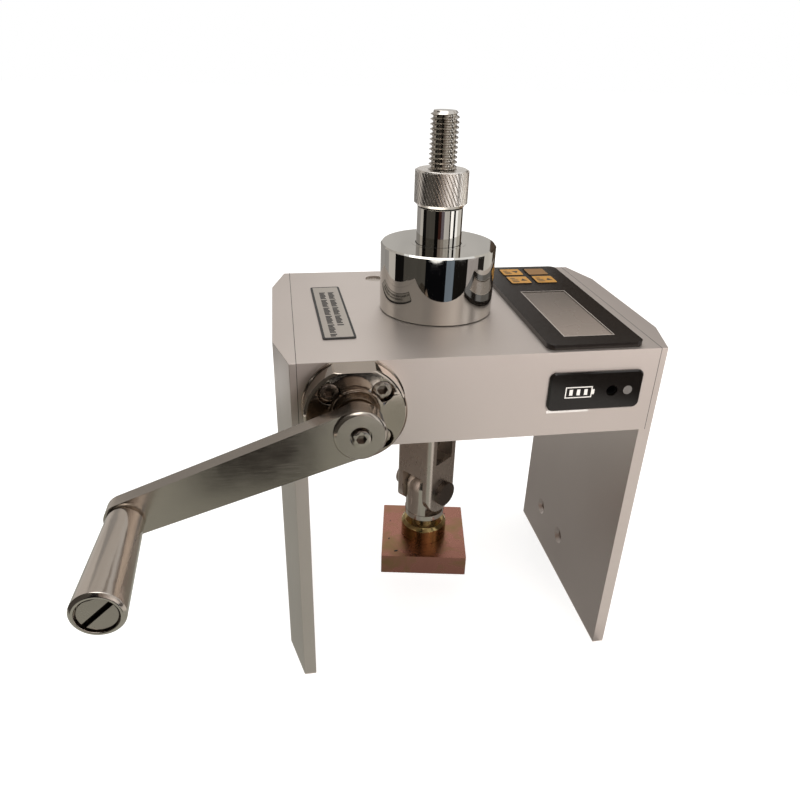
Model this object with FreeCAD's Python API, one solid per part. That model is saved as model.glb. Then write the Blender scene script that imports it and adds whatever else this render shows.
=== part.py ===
import FreeCAD, Part
import math
import os

V = FreeCAD.Vector

# Pull-off adhesion tester, crank driven, all sizes in millimetres.
# X runs right, Y runs back and Z runs up. The origin lies on the plane of the
# feet, straight below the pull rod.

# Frame and casing
LEG_HEIGHT = 115.5          # feet to the underside of the casing
BODY_HEIGHT = 34.5          # casing from underside to top
BODY_DEPTH = 102.0          # front face to back face
AXIS_FORWARD = 0.5          # pull axis lies this far behind the middle of the depth
PLATE_T = 10.5              # side plate
LAP = 2.5                   # casing sits on a ledge this wide in each side plate
EDGE_CUT_X = 5.5            # long bevel on the outer corners of the side plates
EDGE_CUT_Y = 20.0
WALL = 5.0                  # casing walls
ROOF = 4.0                  # casing top
BASE_T = 5.0                # base plate
POST = 7.0                  # square corner posts that take the base screws

# Holes at the foot of each side plate
FOOT_HOLE_R = 2.5
FOOT_SINK_R = 4.3
FOOT_SINK_H = 1.8
FOOT_HOLE_Z = 21.2
FOOT_HOLE_Y = 1.3
FOOT_HOLE_PITCH = 25.3

# Countersunk screws of the side plates and of the base plate
PLATE_SCREW_R = 2.0
PLATE_SCREW_LENGTH = 12.0
PLATE_SCREW_Y = 24.0        # each side of the pull axis
BASE_SCREW_R = 1.5
BASE_SCREW_LENGTH = 11.0

# Worm drive: crank shaft above, wheel round the lift spindle
MODULE = 1.5
WORM_PITCH_R = 9.5
WORM_STARTS = 2
WORM_HALF = 10.5            # threaded length each side of the middle
WHEEL_TEETH = 40
WHEEL_FACE = 8.0
PRESSURE_ANGLE = 20.0
TIP_GAP = 0.35              # tooth tip to the root of its mate
BACKLASH = 0.24             # total play along the worm
SHAFT_DEPTH = 16.5          # crank axis below the casing top
SHAFT_R = 5.0
WORM_PIN_R = 1.0
BUSH_WALL = 2.5
FRONT_BUSH_LENGTH = 12.0
REAR_BUSH_LENGTH = 8.0
REAR_SKIN = 1.5             # metal left behind the rear bush
REAR_BOSS_WALL = 3.0

# Round flange that carries the front bush
FLANGE_R = 18.5
FLANGE_T = 9.3
FLANGE_TO_SEAM = 1.0
FLANGE_RIM_T = 1.2          # full width rim against the casing
FLANGE_STEP = 0.5           # the rest is this much smaller in radius
FLANGE_EDGE = 0.9
SPIGOT_R = 10.2
SPIGOT_T = 1.2
FLANGE_SCREW_CIRCLE = 12.8
FLANGE_SINK_R = 4.0
FLANGE_SCREW_R = 1.6
FLANGE_HEAD_R = 3.2
FLANGE_HEAD_H = 3.2
FLANGE_SINK_EXTRA = 1.2     # counterbore deeper than the screw head
FLANGE_SCREW_LENGTH = 9.0

# Crank arm and its turning grip
NECK_R = 7.0
NECK_T = 5.0
HUB_R = 8.9
HUB_T = 8.0
HUB_EDGE = 0.9
HUB_SINK_R = 3.7
HUB_SINK_H = 1.6            # half the height of the screw head
HUB_SCREW_R = 2.0
HUB_SCREW_LENGTH = 12.0
HUB_HEAD_R = 3.05
HUB_HEAD_H = 3.0
HUB_WALL = 3.0              # metal between the counterbore and the end of the shaft
KEY_SIZE = 2.0
KEY_LENGTH = 7.0
CRANK_RADIUS = 82.3
CRANK_ANGLE = 199.67        # rest position of the arm, from +X towards +Z
ARM_T = 5.8
ARM_SETBACK = 2.0           # arm face behind the hub face
ARM_END_R = 6.9
GRIP_LENGTH = 42.2
GRIP_ROOT_R = 6.2
GRIP_END_R = 7.9
GRIP_SHOULDER = 4.0         # straight length before the grip starts to swell
GRIP_SINK_R = 6.2
GRIP_BOLT_R = 3.0
GRIP_HEAD_R = 5.6
GRIP_HEAD_H = 2.5
GRIP_HEAD_DOWN = 0.7        # head below the rim of the grip
GRIP_SLOT = 1.7
GRIP_SLOT_DEPTH = 1.6
GRIP_SLOT_ANGLE = 42.0

# Wheel hub, thrust bearing and upper bush
HUB_SHOULDER = 1.5          # hub wider below the upper bush
HUB_TOP_WALL = 2.5          # hub wall round the spindle, inside the upper bush
WHEEL_RIM_T = 3.5
WHEEL_WEB_T = 6.0
HUB_TOP_GAP = 0.7           # top of the wheel hub below the casing top
RACE_T = 1.5
RACE_R = 20.0
RACE_BORE_GAP = 1.2
ROLLER_R = 1.0
ROLLER_COUNT = 12
ROLLER_CAGE_T = 0.9
BUSH_FLANGE_T = 2.0
BUSH_FLANGE_W = 1.4
BUSH_TO_SCREWS = 1.2        # bush flange to the heads of the tower screws

# Lift spindle, load cell and sleeve
LIFT_STROKE = 5.0
SPINDLE_FLANGE_GAP = 0.7    # to the wall of the tower
SPINDLE_FLANGE_T = 4.0
CELL_GAP = 1.0              # load cell to the guide keys
CELL_H = 8.0
CELL_WAIST = 1.4
CELL_RIM = 2.0
CELL_SCREW_R = 1.25
CELL_SCREW_HEAD_R = 2.0
CELL_SCREW_HEAD_H = 2.0
SLEEVE_R = 9.0
SLEEVE_FLANGE_T = 2.8
SLEEVE_TOP = 41.2           # above the casing top
WASHER_T = 0.6
WASHER_R = 8.7

# Chrome tower
TOWER_R = 23.1
TOWER_H = 27.0
TOWER_WALL = 3.6
TOWER_ROOF = 4.5
TOWER_EDGE = 0.6
GASKET_T = 0.4
GASKET_INSET = 0.6
GUIDE_W = 4.0
GUIDE_INTO_WALL = 1.5
GUIDE_REACH = 3.0
TOWER_SCREW_R = 1.0
TOWER_SCREW_HEAD_R = 1.7
TOWER_SCREW_HEAD_H = 1.5
TOWER_SCREW_LENGTH = 9.0
SEAL_W = 1.4
SEAL_T = 1.5

# Pull rod, its nut and the swivel
ROD_R = 5.4
ROD_ABOVE_NUT = 20.7
ROD_EDGE = 1.0
NUT_R = 10.4
NUT_H = 13.4
NUT_EDGE = 0.9
NUT_UP = 4.0                # travel of the rod above its rest place
ROD_NECK_R = 3.2
ROD_NECK_ABOVE_CAGE = 4.0
BALL_NUT_R = 5.6
BALL_NUT_TOP = 4.8          # flat on top of the ball above its centre
BALL_NUT_DROP = 6.8         # hexagon of the ball nut goes this far below the centre
BALL_NUT_TURN = 11.0        # its flats against the cage
END_CAP_R = 3.9
END_CAP_H = 1.8
END_CAP_DOWN = 0.2          # end cap inside the hexagon
END_CAP_SHANK_R = 1.5
END_CAP_SHANK = 9.0

# Clevis cage, turned about the pull axis
CAGE_TURN = 39.3            # pin axis from -Y towards +X
CAGE_W = 20.0
CAGE_CORNER_R = 2.5
CAGE_TOP_GAP = 2.5          # cage top below the casing with the rod fully up
CAGE_ROOF = 12.0
CAGE_HOLE_R = 4.6
SEAT_DEPTH = 2.0            # window top above the centre of the ball nut
WINDOW_W = 11.4
WINDOW_H = 14.2
BRIDGE = 7.5
EAR_T = 3.9
EYE_R = 9.2                 # round bar and domed end of the eye
EYE_TOP_GAP = 0.4
EYE_SIDE_GAP = 0.1
PIN_R = 3.0
PIN_HEAD_R = 5.75
PIN_HEAD_T = 2.8
PIN_TAIL = 3.4
CLIP_R = 5.2
CLIP_T = 4.2                # push-on cap over the tail of the pin
STUD_DISC_DROP = 12.7       # pin axis to the top of the stud's collar
STUD_DISC_R = 9.4
STUD_DISC_T = 2.5
STUD_NECK_R = 6.0
STUD_NECK_T = 4.0
STUD_THREAD_R = 4.0

# Test dolly
BOSS_R = 10.8
BOSS_H = 8.7
BOSS_EDGE = 1.4
DOLLY_W = 40.0
DOLLY_T = 10.0
DOLLY_TURN = -10.1
DOLLY_EDGE = 0.4
THREAD_DEPTH = 9.5

# Display panel and keys on the top
PANEL_GAP = 8.5             # tower to panel
PANEL_W = 37.4
PANEL_TO_SEAM = 6.0
PANEL_FRONT = 2.0
PANEL_BACK = 4.5
PANEL_T = 2.0
PANEL_CORNER_R = 3.0
WINDOW_LEFT = 8.9
SCREEN_W = 19.5
SCREEN_FRONT = 8.0
SCREEN_TO_KEYS = 11.0
LENS_DOWN = 0.3
MODULE_FRAME = 2.0          # display module wider than its screen
MODULE_T = 7.0
KEY_W = 9.2
KEY_L = 10.6
KEY_GAP_X = 2.9
KEY_GAP_Y = 1.3
KEY_BACK = 3.2              # back keys from the back end of the panel
KEY_LEFT = 8.4
KEY_PROUD = 0.4
KEY_TRAVEL = 0.3
KEY_FLANGE = 0.9
KEY_T = 1.6
KEY_STEM_R = 1.8
BOARD_T = 1.6
BOARD_DROP = 5.4            # board top below the casing roof
BOARD_MARGIN = 3.5
PILLAR_R = 2.5
SWITCH_W = 6.0
SWITCH_H = 3.5
BATTERY_W = 27.0
BATTERY_L = 56.0
BATTERY_H = 14.0
BATTERY_GAP = 1.0           # to the corner posts
BATTERY_CORNER_R = 6.0

# Charging panel on the front
CHARGE_W = 36.5
CHARGE_H = 15.7
CHARGE_T = 1.3
CHARGE_CORNER_R = 2.5
CHARGE_EDGE = 0.5
CHARGE_TO_SEAM = 5.7
CHARGE_DROP = 8.0
JACK_FROM_RIGHT = 11.9
JACK_DROP = 8.0
JACK_HOLE_R = 2.2
JACK_BODY_W = 7.0
JACK_BODY_L = 9.0
JACK_BARREL_R = 3.0
LED_FROM_RIGHT = 5.6
LED_R = 1.8

# Small pieces on the top
LABEL_W = 13.0
LABEL_L = 58.0
LABEL_T = 0.5
LABEL_TURN = -1.7
LABEL_FROM_SEAM = 15.7
LABEL_Y = -1.7
PLUG_R = 4.0
PLUG_DOWN = 0.8
PLUG_X = -20.5
PLUG_FROM_BACK = 11.0
PLUG_T = 2.0

# Fits
RUN_FIT = 0.05              # radial clearance of turning and sliding fits
LOOSE_FIT = 0.4             # radial clearance of the rod in what it passes
PANEL_FIT = 0.1             # round keys
AXIAL_PLAY = 0.3
HEX_SHARE = 0.6             # socket radius over head radius
SINK_SHARE = 2.0            # countersunk head radius over shank radius

# Places worked out from the sizes above
TOP_Z = LEG_HEIGHT + BODY_HEIGHT
CENTRE = WORM_PITCH_R + WHEEL_TEETH * MODULE / 2.0
CRANK_X = -CENTRE
CRANK_Z = TOP_Z - SHAFT_DEPTH
SEAM_L = CRANK_X - FLANGE_R - FLANGE_TO_SEAM
PANEL_X0 = TOWER_R + PANEL_GAP
PANEL_X1 = PANEL_X0 + PANEL_W
SEAM_R = PANEL_X1 + PANEL_TO_SEAM
PLATE_UPPER_T = PLATE_T - LAP
OUT_L = SEAM_L - PLATE_UPPER_T
OUT_R = SEAM_R + PLATE_UPPER_T
FRONT_Y = -BODY_DEPTH / 2.0 - AXIS_FORWARD
BACK_Y = FRONT_Y + BODY_DEPTH
CAVITY = (SEAM_L + WALL, SEAM_R - WALL, FRONT_Y + WALL, BACK_Y - WALL)
BASE_TOP = LEG_HEIGHT + BASE_T
ROOF_Z = TOP_Z - ROOF
WORM_TIP_R = WORM_PITCH_R + MODULE
WORM_ROOT_R = WORM_PITCH_R - MODULE - TIP_GAP
AXIAL_PITCH = math.pi * MODULE
WHEEL_PITCH_R = WHEEL_TEETH * MODULE / 2.0
WHEEL_TIP_R = WHEEL_PITCH_R + MODULE
WHEEL_ROOT_R = WHEEL_PITCH_R - MODULE - TIP_GAP
FLANGE_FRONT = FRONT_Y - FLANGE_T
SPIGOT_FRONT = FLANGE_FRONT - SPIGOT_T
HUB_BACK = SPIGOT_FRONT - NECK_T
HUB_FRONT = HUB_BACK - HUB_T
SHAFT_FRONT = HUB_FRONT + HUB_SINK_H + HUB_WALL
REAR_BUSH_END = BACK_Y - REAR_SKIN
REAR_BUSH_START = REAR_BUSH_END - REAR_BUSH_LENGTH
ARM_FRONT = HUB_FRONT + ARM_SETBACK
ARM_BACK = ARM_FRONT + ARM_T
PIVOT_X = CRANK_X + CRANK_RADIUS * math.cos(math.radians(CRANK_ANGLE))
PIVOT_Z = CRANK_Z + CRANK_RADIUS * math.sin(math.radians(CRANK_ANGLE))
GRIP_BACK = ARM_FRONT - 0.5 * LOOSE_FIT
GRIP_FRONT = GRIP_BACK - GRIP_LENGTH
BEARING_Z = BASE_TOP
BEARING_TOP = BEARING_Z + 2 * RACE_T + 2 * ROLLER_R
TOWER_SCREW_CIRCLE = TOWER_R - TOWER_WALL / 2.0
BUSH_FLANGE_R = TOWER_SCREW_CIRCLE - TOWER_SCREW_HEAD_R - BUSH_TO_SCREWS
BUSH_OUT_R = BUSH_FLANGE_R - BUSH_FLANGE_W
HUB_TOP_R = BUSH_OUT_R - BUSH_WALL
HUB_WIDE_R = HUB_TOP_R + HUB_SHOULDER
SPINDLE_R = HUB_TOP_R - HUB_TOP_WALL
RACE_BORE_R = SPINDLE_R + RACE_BORE_GAP
SPINDLE_FLANGE_Z = TOP_Z + 2 * AXIAL_PLAY
CELL_Z = SPINDLE_FLANGE_Z + SPINDLE_FLANGE_T
SLEEVE_FLANGE_Z = CELL_Z + CELL_H
SLEEVE_TOP_Z = TOP_Z + SLEEVE_TOP
NUT_Z = SLEEVE_TOP_Z + WASHER_T
NUT_TOP = NUT_Z + NUT_H
ROD_TOP = NUT_TOP + ROD_ABOVE_NUT
ROD_BORE_R = ROD_R + LOOSE_FIT
TOWER_TOP = TOP_Z + TOWER_H
TOWER_IN_R = TOWER_R - TOWER_WALL
SPINDLE_FLANGE_R = TOWER_IN_R - SPINDLE_FLANGE_GAP
CELL_R = TOWER_IN_R - GUIDE_REACH - CELL_GAP
CELL_SCREW_CIRCLE = (SLEEVE_R + CELL_R) / 2.0
CAGE_TOP = LEG_HEIGHT - LIFT_STROKE - NUT_UP - CAGE_TOP_GAP
WINDOW_TOP = CAGE_TOP - CAGE_ROOF
BALL_Z = WINDOW_TOP - SEAT_DEPTH
END_CAP_Z = BALL_Z - BALL_NUT_DROP + END_CAP_DOWN + END_CAP_H
SLOT_TOP = WINDOW_TOP - WINDOW_H - BRIDGE
PIN_Z = SLOT_TOP - EYE_R - EYE_TOP_GAP
STUD_DISC_TOP = PIN_Z - STUD_DISC_DROP
BOSS_TOP = STUD_DISC_TOP - STUD_DISC_T - STUD_NECK_T
DOLLY_TOP = BOSS_TOP - BOSS_H
DOLLY_Z = DOLLY_TOP - DOLLY_T
PANEL_Y0 = FRONT_Y + PANEL_FRONT
PANEL_Y1 = BACK_Y - PANEL_BACK
SCREEN_X0 = PANEL_X0 + WINDOW_LEFT
SCREEN_Y0 = PANEL_Y0 + SCREEN_FRONT
KEYS_Y1 = PANEL_Y1 - KEY_BACK
KEYS_Y0 = KEYS_Y1 - 2 * KEY_L - KEY_GAP_Y
SCREEN_L = KEYS_Y0 - SCREEN_TO_KEYS - SCREEN_Y0
BOARD_TOP = ROOF_Z - BOARD_DROP
BOARD = (PANEL_X0 + BOARD_MARGIN, CAVITY[1] - POST - LOOSE_FIT,
         CAVITY[2] + BOARD_MARGIN, CAVITY[3] - BOARD_MARGIN)
CHARGE_X1 = SEAM_R - CHARGE_TO_SEAM
CHARGE_Z1 = TOP_Z - CHARGE_DROP
JACK_X = CHARGE_X1 - JACK_FROM_RIGHT
LED_X = CHARGE_X1 - LED_FROM_RIGHT
JACK_Z = CHARGE_Z1 - JACK_DROP
LABEL_X = SEAM_L + LABEL_FROM_SEAM
PLUG_Y = BACK_Y - PLUG_FROM_BACK

ACROSS = V(1, 0, 0)
BACKWARD = V(0, 1, 0)
UP = V(0, 0, 1)


def box(x0, x1, y0, y1, z0, z1):
    """Box between two corners."""
    return Part.makeBox(x1 - x0, y1 - y0, z1 - z0, V(x0, y0, z0))


def cylinder(radius, start, end, at=(0.0, 0.0), axis=UP):
    """Cylinder along Z from start to end, or along Y with at = (x, z)."""
    if axis is UP:
        foot = V(at[0], at[1], start)
    elif axis is BACKWARD:
        foot = V(at[0], start, at[1])
    else:
        foot = V(start, at[0], at[1])
    return Part.makeCylinder(radius, end - start, foot, axis)


def ring(outer, inner, start, end, at=(0.0, 0.0), axis=UP):
    """Plain ring."""
    return cylinder(outer, start, end, at, axis).cut(cylinder(inner, start, end, at, axis))


def turned(profile):
    """Solid of revolution about the pull axis from (radius, z) points."""
    points = [V(r, 0, z) for r, z in profile]
    face = Part.Face(Part.makePolygon(points + [points[0]]))
    return face.revolve(V(0, 0, 0), UP, 360)


def aimed(shape, at, direction):
    """Turn a shape built along +Z at the origin to a direction, then place it."""
    moved = shape.copy()
    turn = FreeCAD.Rotation(UP, V(*direction))
    moved.Placement = FreeCAD.Placement(V(*at), turn)
    return moved


def rounded(shape, radius, axis=UP):
    """Round the edges that run along an axis."""
    edges = []
    for edge in shape.Edges:
        if isinstance(edge.Curve, Part.Line) and abs(abs(edge.Curve.Direction.dot(axis)) - 1) < 1e-6:
            edges.append(edge)
    return shape.makeFillet(radius, edges)


def spun(shape, angle):
    """Turn a shape about the pull axis."""
    moved = shape.copy()
    moved.rotate(V(0, 0, 0), UP, angle)
    return moved


def hexagon(radius, depth):
    """Six sided socket, built up from the origin."""
    corners = [V(radius * math.cos(math.radians(60 * i)), radius * math.sin(math.radians(60 * i)), 0)
               for i in range(7)]
    return Part.Face(Part.makePolygon(corners)).extrude(V(0, 0, depth))


def socket_screw(head_r, head_h, shank_r, length):
    """Cap screw with its seat at the origin, the head towards +Z."""
    head = Part.makeCylinder(head_r, head_h)
    socket = hexagon(head_r * HEX_SHARE, head_h)
    socket.translate(V(0, 0, head_h * (1 - HEX_SHARE)))
    shank = Part.makeCylinder(shank_r, length, V(0, 0, -length))
    return head.fuse(shank).cut(socket).removeSplitter()


def sink_cone(shank_r):
    """Countersink with its wide end at the origin, going down -Z."""
    return Part.makeCone(shank_r, SINK_SHARE * shank_r, (SINK_SHARE - 1) * shank_r,
                         V(0, 0, -(SINK_SHARE - 1) * shank_r))


def sunk_screw(shank_r, length):
    """Countersunk screw, its flat face at the origin, pointing down -Z."""
    screw = sink_cone(shank_r).fuse(Part.makeCylinder(shank_r, length, V(0, 0, -length)))
    socket = hexagon(shank_r * HEX_SHARE, shank_r)
    socket.translate(V(0, 0, -shank_r))
    return screw.cut(socket).removeSplitter()


def sunk_hole(shank_r, length):
    """Room for a countersunk screw."""
    return sink_cone(shank_r).fuse(Part.makeCylinder(shank_r, length, V(0, 0, -length)))


def save(name, *solids):
    """Write one sub-part."""
    shape = solids[0] if len(solids) == 1 else Part.makeCompound(list(solids))
    shape.exportStep("parts/" + name + ".step")


def plate_screw_places():
    """Depth and height of the screws that hold a side plate, halfway up the casing."""
    return [(y, LEG_HEIGHT + BODY_HEIGHT / 2.0) for y in (-PLATE_SCREW_Y, PLATE_SCREW_Y)]


def side_plate(outer_x, inward):
    """Leg plate that runs from the floor to the casing top, inward is +1 or -1."""
    front_x = outer_x + inward * EDGE_CUT_X
    inner_x = outer_x + inward * PLATE_T
    outline = [V(inner_x, FRONT_Y, 0), V(front_x, FRONT_Y, 0),
               V(outer_x, FRONT_Y + EDGE_CUT_Y, 0), V(outer_x, BACK_Y - EDGE_CUT_Y, 0),
               V(front_x, BACK_Y, 0), V(inner_x, BACK_Y, 0)]
    plate = Part.Face(Part.makePolygon(outline + [outline[0]])).extrude(V(0, 0, TOP_Z))
    ledge = sorted((inner_x, inner_x - inward * LAP))
    plate = plate.cut(box(ledge[0], ledge[1], FRONT_Y, BACK_Y, LEG_HEIGHT, TOP_Z))
    for i in range(2):
        y = FOOT_HOLE_Y + i * FOOT_HOLE_PITCH
        hole = Part.makeCylinder(FOOT_HOLE_R, PLATE_T)
        sink = Part.makeCone(FOOT_SINK_R, FOOT_HOLE_R, FOOT_SINK_H)
        plate = plate.cut(aimed(hole.fuse(sink), (inner_x, y, FOOT_HOLE_Z), (-inward, 0, 0)))
    for y, z in plate_screw_places():
        plate = plate.cut(aimed(sunk_hole(PLATE_SCREW_R, PLATE_T), (outer_x, y, z), (-inward, 0, 0)))
    return plate


def plate_screws():
    """Four screws, two from each side."""
    screws = []
    for outer_x, inward in ((OUT_L, 1), (OUT_R, -1)):
        for y, z in plate_screw_places():
            screw = sunk_screw(PLATE_SCREW_R, PLATE_SCREW_LENGTH)
            screws.append(aimed(screw, (outer_x, y, z), (-inward, 0, 0)))
    return screws


def corner_places():
    """Middle of each corner post."""
    x0, x1, y0, y1 = CAVITY
    half = POST / 2.0
    return [(x, y) for x in (x0 + half, x1 - half) for y in (y0 + half, y1 - half)]


def key_boxes():
    """Plan outline of the four keys as (x0, x1, y0, y1)."""
    boxes = []
    for row in range(2):
        for column in range(2):
            x0 = PANEL_X0 + KEY_LEFT + column * (KEY_W + KEY_GAP_X)
            y1 = KEYS_Y1 - row * (KEY_L + KEY_GAP_Y)
            boxes.append((x0, x0 + KEY_W, y1 - KEY_L, y1))
    return boxes


def pillar_places():
    """Two pillars of the main board, between the display module and the keys."""
    module_end = SCREEN_Y0 + SCREEN_L + MODULE_FRAME
    inset = PILLAR_R + LOOSE_FIT
    return [(x, (module_end + KEYS_Y0) / 2.0) for x in (BOARD[0] + inset, BOARD[1] - inset)]


def flange_screw_places():
    """Screws of the round flange, on its screw circle."""
    reach = FLANGE_SCREW_CIRCLE * math.sqrt(0.5)
    return [(CRANK_X + i * reach, CRANK_Z + k * reach) for i in (-1, 1) for k in (-1, 1)]


def tower_screw_places():
    """Screws that come up through the casing roof into the tower wall."""
    angles = [math.radians(45 + 90 * i) for i in range(4)]
    return [(TOWER_SCREW_CIRCLE * math.cos(a), TOWER_SCREW_CIRCLE * math.sin(a)) for a in angles]


def casing():
    """Hollow casing, open underneath, with posts, pillars and the rear bearing boss."""
    x0, x1, y0, y1 = CAVITY
    shell = box(SEAM_L, SEAM_R, FRONT_Y, BACK_Y, LEG_HEIGHT, TOP_Z)
    shell = shell.cut(box(x0, x1, y0, y1, LEG_HEIGHT, ROOF_Z))
    for x, y in corner_places():
        half = POST / 2.0
        shell = shell.fuse(box(x - half, x + half, y - half, y + half, BASE_TOP, ROOF_Z))
    boss_r = SHAFT_R + BUSH_WALL + REAR_BOSS_WALL
    shell = shell.fuse(cylinder(boss_r, REAR_BUSH_START, BACK_Y - WALL, (CRANK_X, CRANK_Z), BACKWARD))
    for x, y in pillar_places():
        shell = shell.fuse(cylinder(PILLAR_R, BOARD_TOP, ROOF_Z, (x, y)))
    shell = shell.cut(cylinder(SHAFT_R + BUSH_WALL, REAR_BUSH_START, REAR_BUSH_END,
                               (CRANK_X, CRANK_Z), BACKWARD))
    shell = shell.cut(cylinder(SPIGOT_R, FRONT_Y, FRONT_Y + WALL, (CRANK_X, CRANK_Z), BACKWARD))
    shell = shell.cut(cylinder(BUSH_OUT_R, ROOF_Z, TOP_Z))
    for x, y in tower_screw_places():
        shell = shell.cut(cylinder(TOWER_SCREW_R, ROOF_Z, TOP_Z, (x, y)))
    for x, z in flange_screw_places():
        depth = FLANGE_SCREW_LENGTH - (FLANGE_T - FLANGE_HEAD_H - FLANGE_SINK_EXTRA)
        shell = shell.cut(cylinder(FLANGE_SCREW_R, FRONT_Y, FRONT_Y + depth, (x, z), BACKWARD))
    for outer_x, inward in ((OUT_L, 1), (OUT_R, -1)):
        for y, z in plate_screw_places():
            shell = shell.cut(aimed(sunk_hole(PLATE_SCREW_R, PLATE_SCREW_LENGTH),
                                    (outer_x, y, z), (-inward, 0, 0)))
    for x, y in corner_places():
        shell = shell.cut(cylinder(BASE_SCREW_R, BASE_TOP, LEG_HEIGHT + BASE_SCREW_LENGTH, (x, y)))
    rim = MODULE_FRAME
    shell = shell.cut(box(SCREEN_X0 - rim, SCREEN_X0 + SCREEN_W + rim, SCREEN_Y0 - rim,
                          SCREEN_Y0 + SCREEN_L + rim, ROOF_Z, TOP_Z))
    for kx0, kx1, ky0, ky1 in key_boxes():
        grow = KEY_FLANGE / 2.0
        shell = shell.cut(box(kx0 - grow, kx1 + grow, ky0 - grow, ky1 + grow, ROOF_Z, TOP_Z))
    for x, radius in ((JACK_X, JACK_BARREL_R), (LED_X, LED_R)):
        shell = shell.cut(cylinder(radius, FRONT_Y, FRONT_Y + WALL, (x, JACK_Z), BACKWARD))
    shell = shell.cut(cylinder(PLUG_R, TOP_Z - PLUG_DOWN - PLUG_T, TOP_Z, (PLUG_X, PLUG_Y)))
    return shell.removeSplitter()


def base_plate():
    """Bottom cover that carries the thrust bearing and lets the rod through."""
    x0, x1, y0, y1 = CAVITY
    plate = box(x0, x1, y0, y1, LEG_HEIGHT, BASE_TOP)
    plate = plate.cut(cylinder(ROD_R + 2 * LOOSE_FIT + AXIAL_PLAY, LEG_HEIGHT, BASE_TOP))
    for x, y in corner_places():
        plate = plate.cut(aimed(sunk_hole(BASE_SCREW_R, BASE_T), (x, y, LEG_HEIGHT), (0, 0, -1)))
    return plate


def base_screws():
    """Four countersunk screws from below."""
    return [aimed(sunk_screw(BASE_SCREW_R, BASE_SCREW_LENGTH), (x, y, LEG_HEIGHT), (0, 0, -1))
            for x, y in corner_places()]


def bearing_flange():
    """Round flange on the front, its top cut level with the casing top."""
    at = (CRANK_X, CRANK_Z)
    disc = cylinder(FLANGE_R - FLANGE_STEP, FLANGE_FRONT, FRONT_Y, at, BACKWARD)
    rims = [e for e in disc.Edges if isinstance(e.Curve, Part.Circle)
            and abs(e.Curve.Center.y - FLANGE_FRONT) < 1e-6]
    disc = disc.makeChamfer(FLANGE_EDGE, rims)
    body = disc.fuse([cylinder(FLANGE_R, FRONT_Y - FLANGE_RIM_T, FRONT_Y, at, BACKWARD),
                      cylinder(SPIGOT_R, SPIGOT_FRONT, FRONT_Y + WALL, at, BACKWARD)])
    body = body.cut(cylinder(SHAFT_R + BUSH_WALL, SPIGOT_FRONT, FRONT_Y + WALL, at, BACKWARD))
    body = body.cut(box(CRANK_X - FLANGE_R, CRANK_X + FLANGE_R, FLANGE_FRONT, FRONT_Y,
                        TOP_Z, CRANK_Z + FLANGE_R))
    for x, z in flange_screw_places():
        body = body.cut(cylinder(FLANGE_SCREW_R, FLANGE_FRONT, FRONT_Y, (x, z), BACKWARD))
        seat = FLANGE_FRONT + FLANGE_HEAD_H + FLANGE_SINK_EXTRA
        body = body.cut(cylinder(FLANGE_SINK_R, FLANGE_FRONT, seat, (x, z), BACKWARD))
    return body.removeSplitter()


def flange_screws():
    """Cap screws deep in their counterbores."""
    seat = FLANGE_FRONT + FLANGE_HEAD_H + FLANGE_SINK_EXTRA
    screw = socket_screw(FLANGE_HEAD_R, FLANGE_HEAD_H, FLANGE_SCREW_R, FLANGE_SCREW_LENGTH)
    return [aimed(screw, (x, seat, z), (0, -1, 0)) for x, z in flange_screw_places()]


def crank_shaft():
    """Shaft through both bushes, cross drilled for the worm pin, keyed at the front."""
    at = (CRANK_X, CRANK_Z)
    shaft = cylinder(SHAFT_R, SHAFT_FRONT, REAR_BUSH_END - AXIAL_PLAY, at, BACKWARD)
    shaft = shaft.cut(cylinder(HUB_SCREW_R, SHAFT_FRONT, SHAFT_FRONT + HUB_SCREW_LENGTH - HUB_WALL,
                               at, BACKWARD))
    shaft = shaft.cut(worm_pin()).cut(hub_key())
    return shaft


def worm_pin():
    """Pin through worm and shaft."""
    y = WORM_HALF + WORM_ROOT_R / 2.0
    return cylinder(WORM_PIN_R, CRANK_Z - WORM_ROOT_R, CRANK_Z + WORM_ROOT_R, (CRANK_X, y))


def hub_key():
    """Flat key half in the shaft and half in the hub."""
    half = KEY_SIZE / 2.0
    y0 = SHAFT_FRONT + AXIAL_PLAY
    z = CRANK_Z + SHAFT_R
    return box(CRANK_X - half, CRANK_X + half, y0, y0 + KEY_LENGTH, z - half, z + half)


def worm():
    """Two start worm with straight flanks, built upright and then laid along Y."""
    lead = WORM_STARTS * AXIAL_PITCH
    slope = math.tan(math.radians(PRESSURE_ANGLE))
    half = AXIAL_PITCH / 4.0 - BACKLASH / 2.0
    deep = WORM_ROOT_R - TIP_GAP
    wide = half + (WORM_PITCH_R - deep) * slope
    narrow = half - (WORM_TIP_R - WORM_PITCH_R) * slope
    turns = math.ceil(WORM_HALF / lead) + 1
    path = Part.Wire(Part.makeHelix(lead, 2 * turns * lead, WORM_PITCH_R))
    section = Part.makePolygon([V(deep, 0, -wide), V(WORM_TIP_R, 0, -narrow),
                                V(WORM_TIP_R, 0, narrow), V(deep, 0, wide), V(deep, 0, -wide)])
    thread = path.makePipeShell([section], True, True)
    thread.translate(V(0, 0, -turns * lead))
    threads = [spun(thread, 360.0 * i / WORM_STARTS) for i in range(WORM_STARTS)]
    tail = WORM_ROOT_R
    core = cylinder(WORM_ROOT_R, -WORM_HALF, WORM_HALF + tail)
    trim = cylinder(WORM_TIP_R + MODULE, -WORM_HALF, WORM_HALF)
    solid = core.fuse([one.common(trim) for one in threads])
    solid = solid.cut(cylinder(SHAFT_R, -WORM_HALF, WORM_HALF + tail)).removeSplitter()
    return aimed(solid.rotated(V(0, 0, 0), UP, 90), (CRANK_X, 0, CRANK_Z), (0, 1, 0)).cut(worm_pin())


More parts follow.
